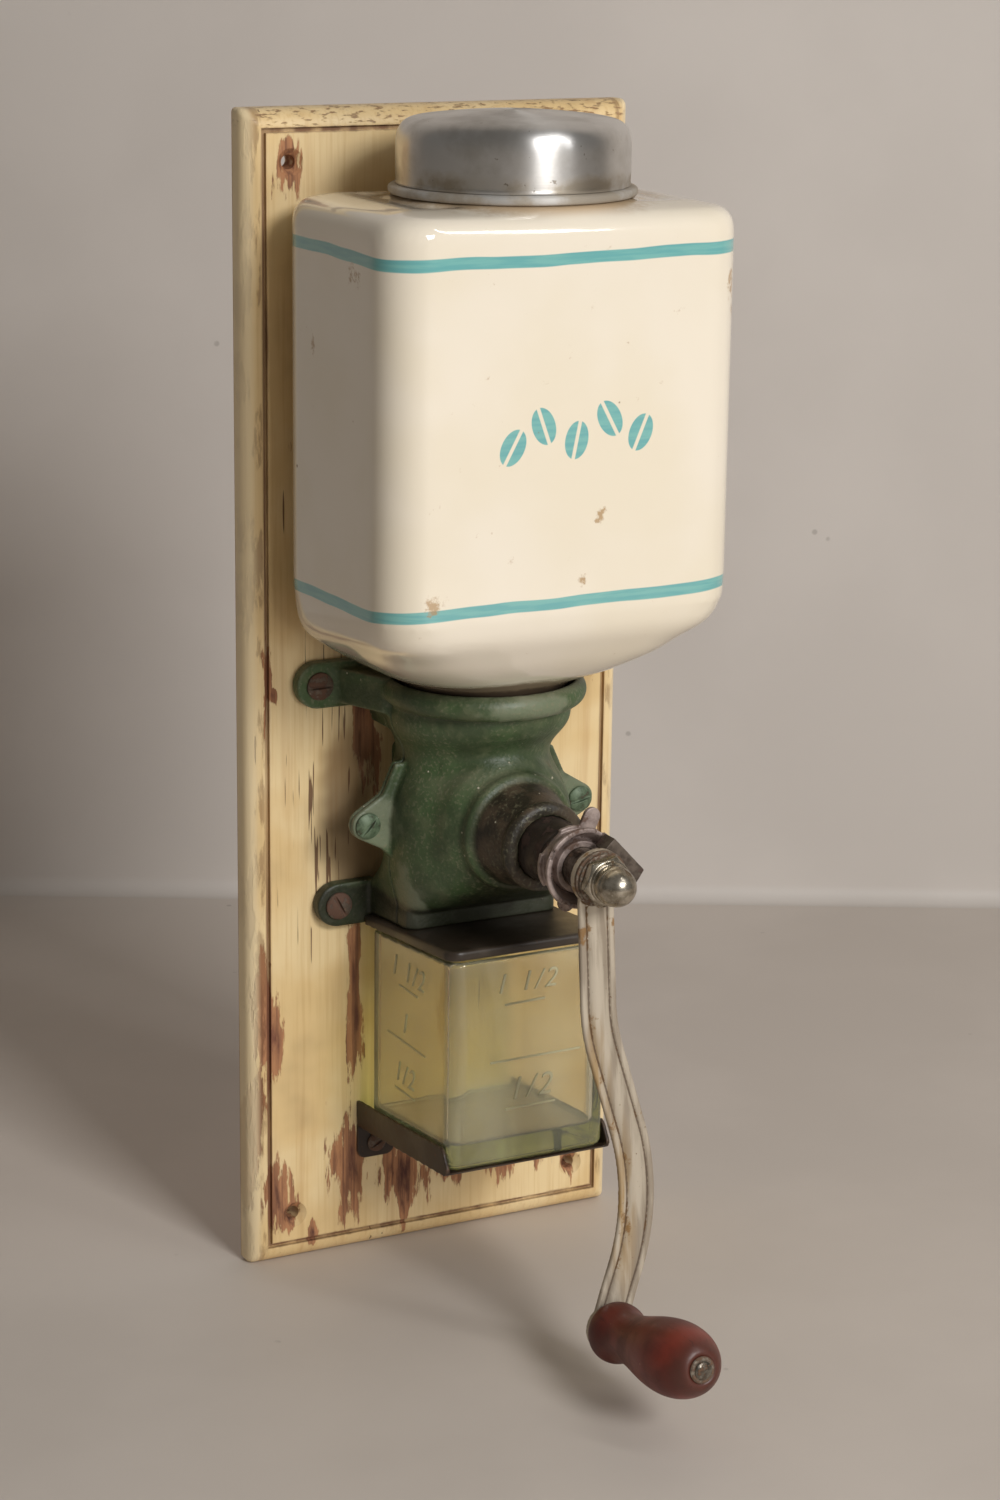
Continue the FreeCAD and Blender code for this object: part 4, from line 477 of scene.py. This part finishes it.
# Neck ring and lid
# Both are spun from aluminium sheet on a former: a beaded ring pressed on the jar's mouth and a
# shallow cap over it. Spinning leaves fine rings round the axis; handling and age have dulled them.
def spun(name, profile, place, steps=64, levels=2, turned=(0, 0, 0)):
    """Draws half a section in mm point by point, spins it, rounds it by subdivision and puts it in place."""
    bpy.ops.object.select_all(action="DESELECT")
    bpy.ops.mesh.primitive_plane_add(size=0.002, location=(0, 0, 0))
    piece = bpy.context.object
    piece.name = name
    bpy.ops.object.mode_set(mode="EDIT")
    bpy.ops.mesh.select_all(action="SELECT")
    bpy.ops.mesh.merge(type="CENTER")
    points = [Vector((radius * 0.001, 0, height * 0.001)) for radius, height in profile]
    bpy.ops.transform.translate(value=points[0])
    for last, point in zip(points, points[1:]):
        bpy.ops.mesh.extrude_vertices_move(TRANSFORM_OT_translate={"value": point - last})
    bpy.ops.mesh.select_all(action="SELECT")
    bpy.ops.mesh.spin(steps=steps, angle=2 * math.pi, center=(0, 0, 0), axis=(0, 0, 1))
    bpy.ops.mesh.select_all(action="SELECT")
    bpy.ops.mesh.remove_doubles(threshold=0.00001)
    bpy.ops.mesh.normals_make_consistent(inside=False)
    bpy.ops.object.mode_set(mode="OBJECT")
    rounding = piece.modifiers.new("rounding", "SUBSURF")
    rounding.levels = levels
    rounding.render_levels = levels
    bpy.ops.object.modifier_apply(modifier=rounding.name)
    piece.rotation_euler = turned
    piece.location = place
    bpy.ops.object.transform_apply(location=True, rotation=True, scale=True)
    bpy.ops.object.shade_smooth_by_angle(angle=math.radians(50))
    return piece


lid_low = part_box("lid")[0]
spun_aluminium, place = new_material("spun_aluminium_dulled_by_handling")
m = spun_aluminium
z = add(m, "SeparateXYZ", {0: place}).node.outputs[2]
# The tool's rings are about 0.4 mm apart.
rings = add(m, "TexNoise", {"Vector": add(m, "Mapping", {0: place, 3: (12, 12, 2600)}), "Scale": 1.0, "Detail": 2.0})
smear = add(m, "TexNoise", {"Vector": place, "Scale": 60.0, "Detail": 5.0, "Roughness": 0.6})
pit = add(m, "TexNoise", {"Vector": place, "Scale": 420.0, "Detail": 2.0})
tone = add(m, "Mix", {0: add(m, "MapRange", {0: smear, 1: 0.4, 2: 0.66}, **smooth), 6: srgb("#D6D4D1"),
                      7: srgb("#C3C0BB")}, **colours)
foot_level = add(m, "Math", {0: smear, 1: 0.01, 2: z}, **scaled_plus)
grime = add(m, "Math", {0: add(m, "MapRange", {0: foot_level, 1: lid_low.z + 0.0115, 2: lid_low.z + 0.0065}, **smooth),
                        1: add(m, "MapRange", {0: smear, 1: 0.62, 2: 0.4}, **smooth)}, **times)
pits = add(m, "MapRange", {0: pit, 1: 0.72, 2: 0.76}, **smooth)
for share, mask, code in ((0.6, grime, "#97835F"), (0.7, pits, "#7D7263")):
    tone = add(m, "Mix", {0: add(m, "Math", {0: mask, 1: share}, **times), 6: tone, 7: srgb(code)}, **colours)
shine = add(m, "MapRange", {0: smear, 1: 0.35, 2: 0.65, 3: 0.3, 4: 0.4})
shine = add(m, "Math", {0: grime, 1: 0.25, 2: shine}, **scaled_plus)
# The ring under the lid is handled less, and is duller than the lid.
ring_dull = add(m, "MapRange", {0: z, 1: lid_low.z + 0.0012, 2: lid_low.z - 0.0004, 4: 0.2}, **smooth)
shine = add(m, "Math", {0: shine, 1: ring_dull}, **plus)
metal = add(m, "MapRange", {0: ring_dull, 1: 0.0, 2: 0.2, 3: 0.97, 4: 0.5})
outward = add(m, "VectorMath", {0: place, 1: (mouth.x, mouth.y, 0)}, operation="SUBTRACT")
around = add(m, "VectorMath", {0: (0, 0, 1), 1: outward}, operation="CROSS_PRODUCT")
surface = add(m, "BsdfPrincipled", {"Base Color": tone, "Roughness": shine, "Metallic": metal, "Anisotropic": 0.8,
                                    "Anisotropic Rotation": 0.25, "Tangent": around})
relief = add(m, "Math", {0: pits, 1: -0.8, 2: rings}, **scaled_plus)
finish_material(m, surface, relief, 0.00005, 0.4)
outer, inner = 39.3, 34.2
piece = spun("mouth_ring", [
    (inner, 0.1), (inner, 0.0), (inner + 1.5, 0.0), (outer - 1.2, 0.0), (outer - 0.15, 0.5), (outer, 1.5),
    (outer - 0.15, 2.5), (outer - 1.2, 3.0), (inner + 2.0, 3.0), (inner + 1.15, 3.3), (inner + 1.1, 5.0),
    (inner + 1.1, 8.9), (inner + 0.9, 9.0), (inner, 9.0), (inner, 5.0), (inner, 0.1)],
    (mouth.x, mouth.y, ring_low.z + 0.00002))
piece.data.materials.append(spun_aluminium)
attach(piece, "frame")
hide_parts("neck_ring")
piece = spun("spun_lid", [
    (36.0, 0.0), (36.6, -0.0), (36.95, 0.15), (36.95, 0.7), (36.75, 1.3), (36.9, 2.4), (36.95, 8.0), (36.95, 12.0),
    (36.8, 14.6), (36.1, 17.2), (34.4, 19.3), (31.8, 20.35), (28.0, 20.85), (16.0, 22.2), (6.0, 22.75), (0.0, 22.85),
    (0.0, 21.9), (6.0, 21.8), (16.0, 21.2), (28.0, 19.9), (31.4, 19.4), (33.6, 18.4), (35.2, 16.8), (35.9, 14.4),
    (36.0, 12.0), (36.0, 4.0), (36.0, 0.0)], (mouth.x, mouth.y, lid_low.z + 0.00002))
piece.data.materials.append(spun_aluminium)
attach(piece, "lid")
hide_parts("lid")


# Horn bush, thrust washer and adjusting nut
# A turned bush in the horn carries the spindle. In front of it a thin washer and a pressed steel nut
# with finger ears set how fine the mill grinds. All are brown-black with oil and coffee dust.
dark_steel = old_metal("oil_blackened_steel", "#40362E", "#28201B", "#43322A", 0.3, 0.35, 0.48, 0.005, "#6E6054")
brown_steel = old_metal("browned_pressed_steel", "#B5A49C", "#908079", "#6E584C", 0.22, 0.45, 0.5, 0.006, "#9A8B85")
for node, name, grain_size, body, slot, finish in (
        ("horn_bush", "spindle_bush", 0.0005, "frame", "dark_steel", dark_steel),
        ("thrust_washer", "running_washer", 0.00025, "thrust", "steel", dark_steel),
        ("adjusting_nut", "grind_nut", 0.00026, "nut", "brown_steel", brown_steel)):
    softened(node, name, grain_size, 2, body, finish)


# Locking plate, crank arm and the nuts and washers on the stud
# A flat plate on the spindle's square holds the nut's setting. The arm is a strip pressed with a rib
# and two grooves, nickel plated and rusting; two washers and a domed cap nut hold it on the stud.
plate_steel = old_metal("grey_brown_spring_steel", "#6E6359", "#4C4239", "#54413A", 0.22, 0.5, 0.46, 0.005, "#9A8D80")
washer_steel = old_metal("corroded_washer_steel", "#8C8072", "#4A3F33", "#6B5341", 0.42, 0.55, 0.52, 0.0015,
                         "#A59988")
nickel = old_metal("old_nickel_on_steel", "#BDB4A4", "#8E8574", "#5D4B36", 0.12, 0.92, 0.26, 0.004, "#C9C2B4")
for node, name, grain_size, slot, finish in (
        ("locking_plate", "lock_plate", 0.0002, "dark_steel", plate_steel),
        ("crank_washer", "flat_washer", 0.0002, "dark_steel", washer_steel),
        ("cone_washer", "coned_washer", 0.0002, "dark_steel", washer_steel),
        ("cap_nut", "domed_nut", 0.00022, "nickel_steel", nickel)):
    softened(node, name, grain_size, 1, "crank", finish)
arm_plate, place = new_material("worn_nickel_plate_with_rust")
m = arm_plate
z = add(m, "SeparateXYZ", {0: place}).node.outputs[2]
patch = add(m, "TexNoise", {"Vector": place, "Scale": 130.0, "Detail": 7.0, "Roughness": 0.65})
fine = add(m, "TexNoise", {"Vector": place, "Scale": 900.0, "Detail": 3.0})
along = add(m, "TexNoise", {"Vector": add(m, "Mapping", {0: place, 3: (330, 200, 26)}), "Scale": 1.0, "Detail": 4.0})
bend = add(m, "NewGeometry").node.outputs["Pointiness"]
tone = add(m, "Mix", {0: add(m, "MapRange", {0: along, 1: 0.4, 2: 0.64}, **smooth), 6: srgb("#C1B4A0"),
                      7: srgb("#A09280")}, **colours)
groove = add(m, "MapRange", {0: bend, 1: 0.497, 2: 0.474}, **smooth)
top_rust = add(m, "MapRange", {0: z, 1: -0.072, 2: -0.046}, **smooth)
left_rust = add(m, "Math", {0: zone(m, place, (-0.003, -0.13, -0.104), (0.006, 0.1, 0.034)),
                            1: zone(m, place, (0.004, -0.13, -0.138), (0.006, 0.1, 0.034))}, **most)
stained = add(m, "Math", {0: left_rust, 1: add(m, "MapRange", {0: along, 1: 0.36, 2: 0.56}, **smooth)}, **times)
rusting = add(m, "Math", {0: top_rust, 1: left_rust}, **most)
rusting = add(m, "Math", {0: rusting, 1: 0.12, 2: patch}, **scaled_plus)
rusting = add(m, "Math", {0: groove, 1: 0.1, 2: rusting}, **scaled_plus)
spots = add(m, "MapRange", {0: rusting, 1: 0.65, 2: 0.72}, **smooth)
pin_spots = add(m, "MapRange", {0: fine, 1: 0.7, 2: 0.74}, **smooth)
for share, mask, code in ((1.0, stained, "#B08F5C"), (0.85, spots, "#8A6535"), (0.75, groove, "#4F3B2A"),
                          (0.7, pin_spots, "#6B4A30")):
    tone = add(m, "Mix", {0: add(m, "Math", {0: mask, 1: share}, **times), 6: tone, 7: srgb(code)}, **colours)
rough = add(m, "Math", {0: spots, 1: pin_spots}, **most)
shine = add(m, "MapRange", {0: rough, 3: 0.5, 4: 0.8})
metal = add(m, "MapRange", {0: rough, 3: 0.25, 4: 0.1})
surface = add(m, "BsdfPrincipled", {"Base Color": tone, "Roughness": shine, "Metallic": metal})
relief = add(m, "Math", {0: rough, 1: 0.8, 2: add(m, "Math", {0: along, 1: 0.4}, **times)}, **scaled_plus)
finish_material(m, surface, relief, 0.0002, 0.5)
softened("crank_arm", "pressed_arm", 0.00028, 0, "crank", arm_plate)


# Knob, its rivet and washer
# A pear turned in beech and lacquered red-brown runs on a steel rivet through the arm's end.
# The lacquer is dull, dented and rubbed dark near the bead; the rivet's head is burred and shiny.
joint = next(j for j in frame["joints"] if j["name"] == "knob_spin")
knob_axis = Vector(joint["axis"]).normalized()
knob_seat = Vector(joint["pos_m"])
turn = Vector((0, 0, 1)).rotation_difference(knob_axis).to_euler()
knob = spun("turned_knob", [
    (2.5, 0.3), (6.6, 0.22), (7.9, 0.5), (9.0, 1.4), (9.8, 3.4), (9.9, 5.4), (9.6, 7.4), (8.9, 9.3), (8.3, 11.2),
    (8.05, 14.0), (8.2, 17.0), (8.7, 20.5), (9.6, 25.0), (10.6, 29.5), (11.5, 34.5), (11.95, 39.5), (12.0, 43.0),
    (11.6, 47.0), (10.7, 50.6), (9.2, 54.0), (7.3, 56.6), (5.6, 57.7), (4.7, 57.75), (4.4, 57.4), (2.5, 57.3),
    (2.5, 50.0), (2.5, 8.0), (2.5, 0.3)], knob_seat, 56, 2, turn)
lacquer, place = new_material("red_brown_lacquer_on_beech")
m = lacquer
cloud = add(m, "TexNoise", {"Vector": place, "Scale": 75.0, "Detail": 4.0})
flecks = add(m, "TexNoise", {"Vector": add(m, "Mapping", {0: place, 3: (700, 90, 700)}), "Scale": 1.0, "Detail": 3.0})
tone = add(m, "Mix", {0: add(m, "MapRange", {0: cloud, 1: 0.38, 2: 0.62}, **smooth), 6: srgb("#7A3022"),
                      7: srgb("#5F2418")}, **colours)
tone = add(m, "Mix", {0: add(m, "MapRange", {0: flecks, 1: 0.62, 2: 0.72, 4: 0.5}, **smooth), 6: tone,
                      7: srgb("#3F1610")}, **colours)
nicks = scattered(m, place, 180.0, (0.11, 0.07), 120.0, (0.6, 0.64))
bead_far = add(m, "VectorMath", {0: place, 1: knob_seat}, operation="DISTANCE")
bead_dirt = add(m, "MapRange", {0: bead_far, 1: 0.0185, 2: 0.0115, 4: 0.4}, **smooth)
end_dirt = add(m, "MapRange", {0: bead_far, 1: 0.052, 2: 0.0575, 4: 0.7}, **smooth)
for mask, code in ((nicks, "#C79A72"), (bead_dirt, "#35140F"), (end_dirt, "#3A2A22")):
    tone = add(m, "Mix", {0: mask, 6: tone, 7: srgb(code)}, **colours)
shine = add(m, "MapRange", {0: cloud, 1: 0.3, 2: 0.7, 3: 0.36, 4: 0.54})
surface = add(m, "BsdfPrincipled", {"Base Color": tone, "Roughness": shine, "IOR": 1.5})
relief = add(m, "Math", {0: flecks, 1: nicks}, **less)
finish_material(m, surface, relief, 0.00015, 0.5)
knob.data.materials.append(lacquer)
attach(knob, "knob")
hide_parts("knob")
rivet_steel = old_metal("burred_rivet_steel", "#9A948A", "#5E564C", "#6A4F3B", 0.2, 0.95, 0.3, 0.002)
softened("knob_rivet", "knob_pin", 0.00025, 1, "crank", rivet_steel)
softened("knob_washer", "pin_washer", 0.00014, 1, "crank", washer_steel)


# Cover plate and cup shelf
# The plate over the cup is pressed sheet steel, japanned black. The shelf is bent from thinner sheet
# that has gone brown-black, with bare edges where the cup slides in and out.
def sheet_finish(name, body_colour, light, rust, rough, share, rubbed):
    """Coated sheet steel with a coat rubbed thin in clouds and off the edges, and small rust spots."""
    material, place = new_material(name)
    cloud = add(material, "TexNoise", {"Vector": place, "Scale": 90.0, "Detail": 6.0})
    spots = add(material, "TexNoise", {"Vector": place, "Scale": 420.0, "Detail": 3.0})
    bend = add(material, "NewGeometry").node.outputs["Pointiness"]
    tone = add(material, "Mix", {0: add(material, "MapRange", {0: cloud, 1: 0.45, 2: 0.72}, **smooth),
                                 6: srgb(body_colour), 7: srgb(light)}, **colours)
    rusty = add(material, "MapRange", {0: spots, 1: 0.74 - 0.3 * share, 2: 0.8 - 0.3 * share, 4: 0.8}, **smooth)
    edge = add(material, "MapRange", {0: bend, 1: 0.53, 2: 0.6, 4: 0.6}, **smooth)
    for mask, code in ((rusty, rust), (edge, rubbed)):
        tone = add(material, "Mix", {0: mask, 6: tone, 7: srgb(code)}, **colours)
    shine = add(material, "MapRange", {0: add(material, "Math", {0: rusty, 1: cloud}, **most), 1: 0.4, 3: rough,
                                       4: 0.75})
    surface = add(material, "BsdfPrincipled", {"Base Color": tone, "Roughness": shine, "IOR": 1.5})
    return finish_material(material, surface, add(material, "Math", {0: spots, 1: cloud}, **plus), 0.00012, 0.4)


japan = sheet_finish("black_japan_on_sheet_steel", "#332A21", "#453B31", "#4E3A2C", 0.34, 0.2, "#6A5B4C")
brown_sheet = sheet_finish("brown_black_sheet_steel", "#2B1F17", "#3E2F24", "#573C2B", 0.42, 0.28, "#8A6E55")
softened("cup_cover", "cover_plate", 0.0005, 2, "frame", japan)
softened("cup_shelf", "tray_shelf", 0.0005, 1, "frame", brown_sheet)
softened("shelf_screws", "tab_screws", 0.0002, 1, "frame", rusted_steel)


# Cup
# A pressed soda-lime glass cup, green where the glass is thick, with a rounded rim, a thick foot and
# raised measure marks moulded on two sides: lines with the plain numbers 1/2, 1 and 1 1/2. Years of
# coffee dust have left a thin dull film on it.
pressed_glass, place = new_material("pressed_soda_lime_glass_with_dust")
m = pressed_glass
waves = add(m, "TexNoise", {"Vector": place, "Scale": 55.0, "Detail": 1.0})
film = add(m, "TexNoise", {"Vector": place, "Scale": 30.0, "Detail": 5.0})
shine = add(m, "MapRange", {0: film, 1: 0.35, 2: 0.65, 3: 0.02, 4: 0.1})
relief = add(m, "Bump", {"Height": waves, "Distance": 0.0006, "Strength": 0.25})
veil = add(m, "MapRange", {0: film, 1: 0.35, 2: 0.65, 3: 0.93, 4: 0.84})
glass = add(m, "BsdfPrincipled", {"Base Color": srgb("#EFE8D2"), "Roughness": shine, "IOR": 1.51,
                                  "Transmission Weight": veil, "Normal": relief})
depth = add(m, "VolumeAbsorption", {"Color": srgb("#BDCCB0"), "Density": 27.0})
# Lamps shine through the glass on to the board behind it.
clear = add(m, "BsdfTransparent", {"Color": srgb("#D6D8C4")})
from_lamp = add(m, "LightPath").node.outputs["Is Shadow Ray"]
glass = add(m, "MixShader", {0: from_lamp, 1: glass, 2: clear})
add(m, "OutputMaterial", {"Surface": glass, "Volume": depth})
softened("cup", "glass_cup", 0.0008, 4, "cup", pressed_glass)
cup_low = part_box("cup")[0]


def raised_number(name, words, tall, place, turned):
    """A number set up as type, made a mesh and laid on the cup's side, standing 0.3 mm proud."""
    bpy.ops.object.select_all(action="DESELECT")
    bpy.ops.object.text_add(location=(0, 0, 0))
    piece = bpy.context.object
    piece.name = name
    piece.data.body = words
    piece.data.size = tall
    piece.data.offset = -0.00014
    piece.data.extrude = 0.0002
    piece.data.bevel_depth = 0.0001
    piece.data.bevel_resolution = 1
    piece.data.shear = 0.25
    piece.data.space_character = 1.18
    piece.data.align_x = "CENTER"
    piece.data.align_y = "CENTER"
    bpy.ops.object.convert(target="MESH")
    piece.rotation_euler = turned
    piece.location = place
    bpy.ops.object.transform_apply(location=True, rotation=True, scale=True)
    return piece


def raised_line(name, start, end, thick=0.00035):
    """A moulded line: a thin bar between two places on the cup's side, its corners rounded."""
    bpy.ops.object.select_all(action="DESELECT")
    bpy.ops.mesh.primitive_cube_add(size=1, location=(0, 0, 0))
    piece = bpy.context.object
    piece.name = name
    piece.scale = ((end - start).length, thick * 1.4, thick * 2)
    piece.rotation_euler = Vector((1, 0, 0)).rotation_difference(end - start).to_euler()
    piece.location = (start + end) / 2
    bpy.ops.object.transform_apply(location=True, rotation=True, scale=True)
    bpy.ops.object.mode_set(mode="EDIT")
    bpy.ops.mesh.select_all(action="SELECT")
    bpy.ops.mesh.bevel(offset=thick * 0.4, segments=2)
    bpy.ops.object.mode_set(mode="OBJECT")
    return piece


# The marks' heights are measured from the board's foot, and their middles lie just off the glass.
marks = []
off_glass = 0.00002
front_y = cup_low.y - off_glass
left_x = cup_low.x - off_glass
upright = (math.radians(90), 0, 0)
leftward = (math.radians(90), 0, math.radians(-90))
board_foot = -0.197
for index, (low_x, high_x, level, words, number_x, number_z, tall) in enumerate((
        (-0.009, 0.0097, 0.073, "1/2", 0.0000, 0.0795, 0.0112),
        (-0.0147, 0.0188, 0.09, None, 0, 0, 0),
        (-0.0095, 0.0053, 0.1095, "1 1/2", -0.002, 0.1165, 0.0095))):
    marks.append(raised_line("line_front_%d" % index, Vector((low_x, front_y, level + board_foot)),
                             Vector((high_x, front_y, level + board_foot + 0.0004))))
    if words:
        marks.append(raised_number("number_front_%d" % index, words, tall,
                                   (number_x, front_y, number_z + board_foot), upright))
for index, (near, far, level, words, number_y, number_z) in enumerate((
        (-0.038, -0.053, 0.07, "1/2", -0.045, 0.076), (-0.032, -0.061, 0.088, "1", -0.045, 0.0945),
        (-0.041, -0.055, 0.107, "1 1/2", -0.047, 0.113))):
    marks.append(raised_line("line_side_%d" % index, Vector((left_x, near, level + board_foot)),
                             Vector((left_x, far, level + board_foot))))
    marks.append(raised_number("number_side_%d" % index, words, 0.0105, (left_x, number_y, number_z + board_foot),
                               leftward))
bpy.ops.object.select_all(action="DESELECT")
for piece in marks:
    piece.select_set(True)
bpy.context.view_layer.objects.active = marks[0]
bpy.ops.object.join()
marks = bpy.context.object
marks.name = "measure_marks"
marks.data.materials.clear()
mark_glass, place = new_material("pressed_glass_of_the_marks")
haze = add(mark_glass, "TexNoise", {"Vector": place, "Scale": 500.0})
shine = add(mark_glass, "MapRange", {0: haze, 3: 0.02, 4: 0.2})
surface = add(mark_glass, "BsdfPrincipled", {"Base Color": srgb("#D8D2AE"), "Roughness": shine, "IOR": 1.51,
                                             "Transmission Weight": 0.45})
finish_material(mark_glass, surface)
marks.data.materials.append(mark_glass)
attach(marks, "cup")


# Floor and backdrop
# The mill stands on a grey painted floor in front of a grey wall that crosses the view squarely. The
# wall ends in a small rounded cove that catches the light.
floor_gap = 0.0003
floor_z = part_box("backboard")[0].z - floor_gap
view_yaw = math.radians(27.27)
ahead = Vector((math.sin(view_yaw), math.cos(view_yaw), 0))
wall_foot = Vector((0.324, 0.265, floor_z))
sheet_wide, sheet_long, cove_radius, cove_steps = 6.0, 3.0, 0.008, 8


def stage_sheet(name, tone, shade, centre, upright_sheet, cove=0.0):
    """A large sheet with a painted finish that marks and clouds a little, and a cove along its near edge."""
    bpy.ops.object.select_all(action="DESELECT")
    bpy.ops.mesh.primitive_plane_add(size=1, location=(0, 0, 0))
    sheet = bpy.context.object
    sheet.name = name
    sheet.scale = (sheet_wide, sheet_long, 1)
    bpy.ops.object.transform_apply(location=False, rotation=False, scale=True)
    if cove:
        bpy.ops.object.mode_set(mode="EDIT")
        bpy.ops.mesh.select_mode(type="EDGE")
        bpy.ops.mesh.select_all(action="DESELECT")
        bpy.ops.object.mode_set(mode="OBJECT")
        for line in sheet.data.edges:
            line.select = all(sheet.data.vertices[end].co.y < -sheet_long / 2 + 0.001 for end in line.vertices)
        bpy.ops.object.mode_set(mode="EDIT")
        for step in range(cove_steps):
            lean = math.radians(90) * (step + 0.5) / cove_steps
            run = cove * math.radians(90) / cove_steps
            bpy.ops.mesh.extrude_edges_move(TRANSFORM_OT_translate={
                "value": (0, -run * math.cos(lean), run * math.sin(lean))})
        bpy.ops.object.mode_set(mode="OBJECT")
        bpy.ops.object.shade_smooth()
    sheet.rotation_euler = (math.radians(90) if upright_sheet else 0, 0, -view_yaw)
    sheet.location = centre
    bpy.ops.object.transform_apply(location=True, rotation=True, scale=True)
    material, place = new_material(name + "_paint")
    cloud = add(material, "TexNoise", {"Vector": place, "Scale": 7.0, "Detail": 5.0})
    dots = scattered(material, place, 42.0, (0.07, 0.03), 31.0, (0.56, 0.62), 0.35)
    paint = add(material, "Mix", {0: add(material, "MapRange", {0: cloud, 1: 0.35, 2: 0.65}, **smooth),
                                  6: srgb(shade), 7: srgb(tone)}, **colours)
    paint = add(material, "Mix", {0: dots, 6: paint, 7: srgb("#6F665B")}, **colours)
    relief = add(material, "Bump", {"Height": cloud, "Distance": 0.0006, "Strength": 0.4})
    surface = add(material, "BsdfPrincipled", {"Base Color": paint, "Roughness": 0.55, "Normal": relief})
    # From behind, the sheet doesn't hide the mill from a camera.
    behind = add(material, "Math", {0: add(material, "NewGeometry").node.outputs["Backfacing"],
                                    1: add(material, "LightPath").node.outputs["Is Camera Ray"]}, **times)
    surface = add(material, "MixShader", {0: behind, 1: surface, 2: add(material, "BsdfTransparent")})
    add(material, "OutputMaterial", {"Surface": surface})
    sheet.data.materials.append(material)
    return sheet


stage_sheet("floor", "#D3C9BF", "#CCC2B8", wall_foot - ahead * sheet_long / 2, False)
stage_sheet("backdrop", "#D0C8C0", "#CAC2BA", wall_foot + Vector((0, 0, sheet_long / 2 + cove_radius)), True,
            cove_radius)


# Light
# One large soft lamp high in front, a narrow softbox nearer on the right, a low fill that shows in no
# reflection, and a weak even room.
def lamp(name, power, wide, long, place, target):
    """An area lamp of a power in watts, at a place, turned to a target."""
    light = bpy.data.lights.new(name, "AREA")
    light.shape = "RECTANGLE"
    light.size = wide
    light.size_y = long
    light.energy = power
    holder = bpy.data.objects.new(name, light)
    holder.location = place
    holder.rotation_euler = (Vector(target) - Vector(place)).to_track_quat("-Z", "Y").to_euler()
    bpy.context.scene.collection.objects.link(holder)
    return holder


lamp("key_lamp", 33.0, 0.66, 0.66, (0.22, -2.28, 1.16), (0, -0.05, 0.0))
lamp("strip_softbox", 0.8, 0.04, 0.6, (0.29, -0.62, 0.62), (-0.02, -0.1, 0.17))
low_fill = lamp("low_fill", 3.3, 0.5, 0.3, (0.15, -1.25, 0.06), (0, -0.05, -0.04))
low_fill.visible_glossy = False
room = bpy.data.worlds.new("room")
bpy.context.scene.world = room
room.use_nodes = True
room.node_tree.nodes["Background"].inputs["Color"].default_value = srgb("#DAD6D0")
room.node_tree.nodes["Background"].inputs["Strength"].default_value = 0.2


# Camera
# It stands to the left and a little above, and sees the mill at the photograph's angle.
pitch, roll = math.radians(15.2), math.radians(0.73)
camera_place = (-0.48593, -0.99845, 0.2799)
look = Vector((math.sin(view_yaw) * math.cos(pitch), math.cos(view_yaw) * math.cos(pitch), -math.sin(pitch)))
level = Vector((math.cos(view_yaw), -math.sin(view_yaw), 0))
over = level.cross(look)
right = level * math.cos(roll) + over * math.sin(roll)
top = over * math.cos(roll) - level * math.sin(roll)
camera = bpy.data.objects.new("camera", bpy.data.cameras.new("camera"))
camera.data.lens = 80.43
camera.data.sensor_width = 36.0
camera.data.clip_start = 0.01
camera.matrix_world = Matrix.Translation(camera_place) @ Matrix((right, top, -look)).transposed().to_4x4()
bpy.context.scene.collection.objects.link(camera)
bpy.context.scene.camera = camera
bpy.context.scene.view_settings.view_transform = "Standard"
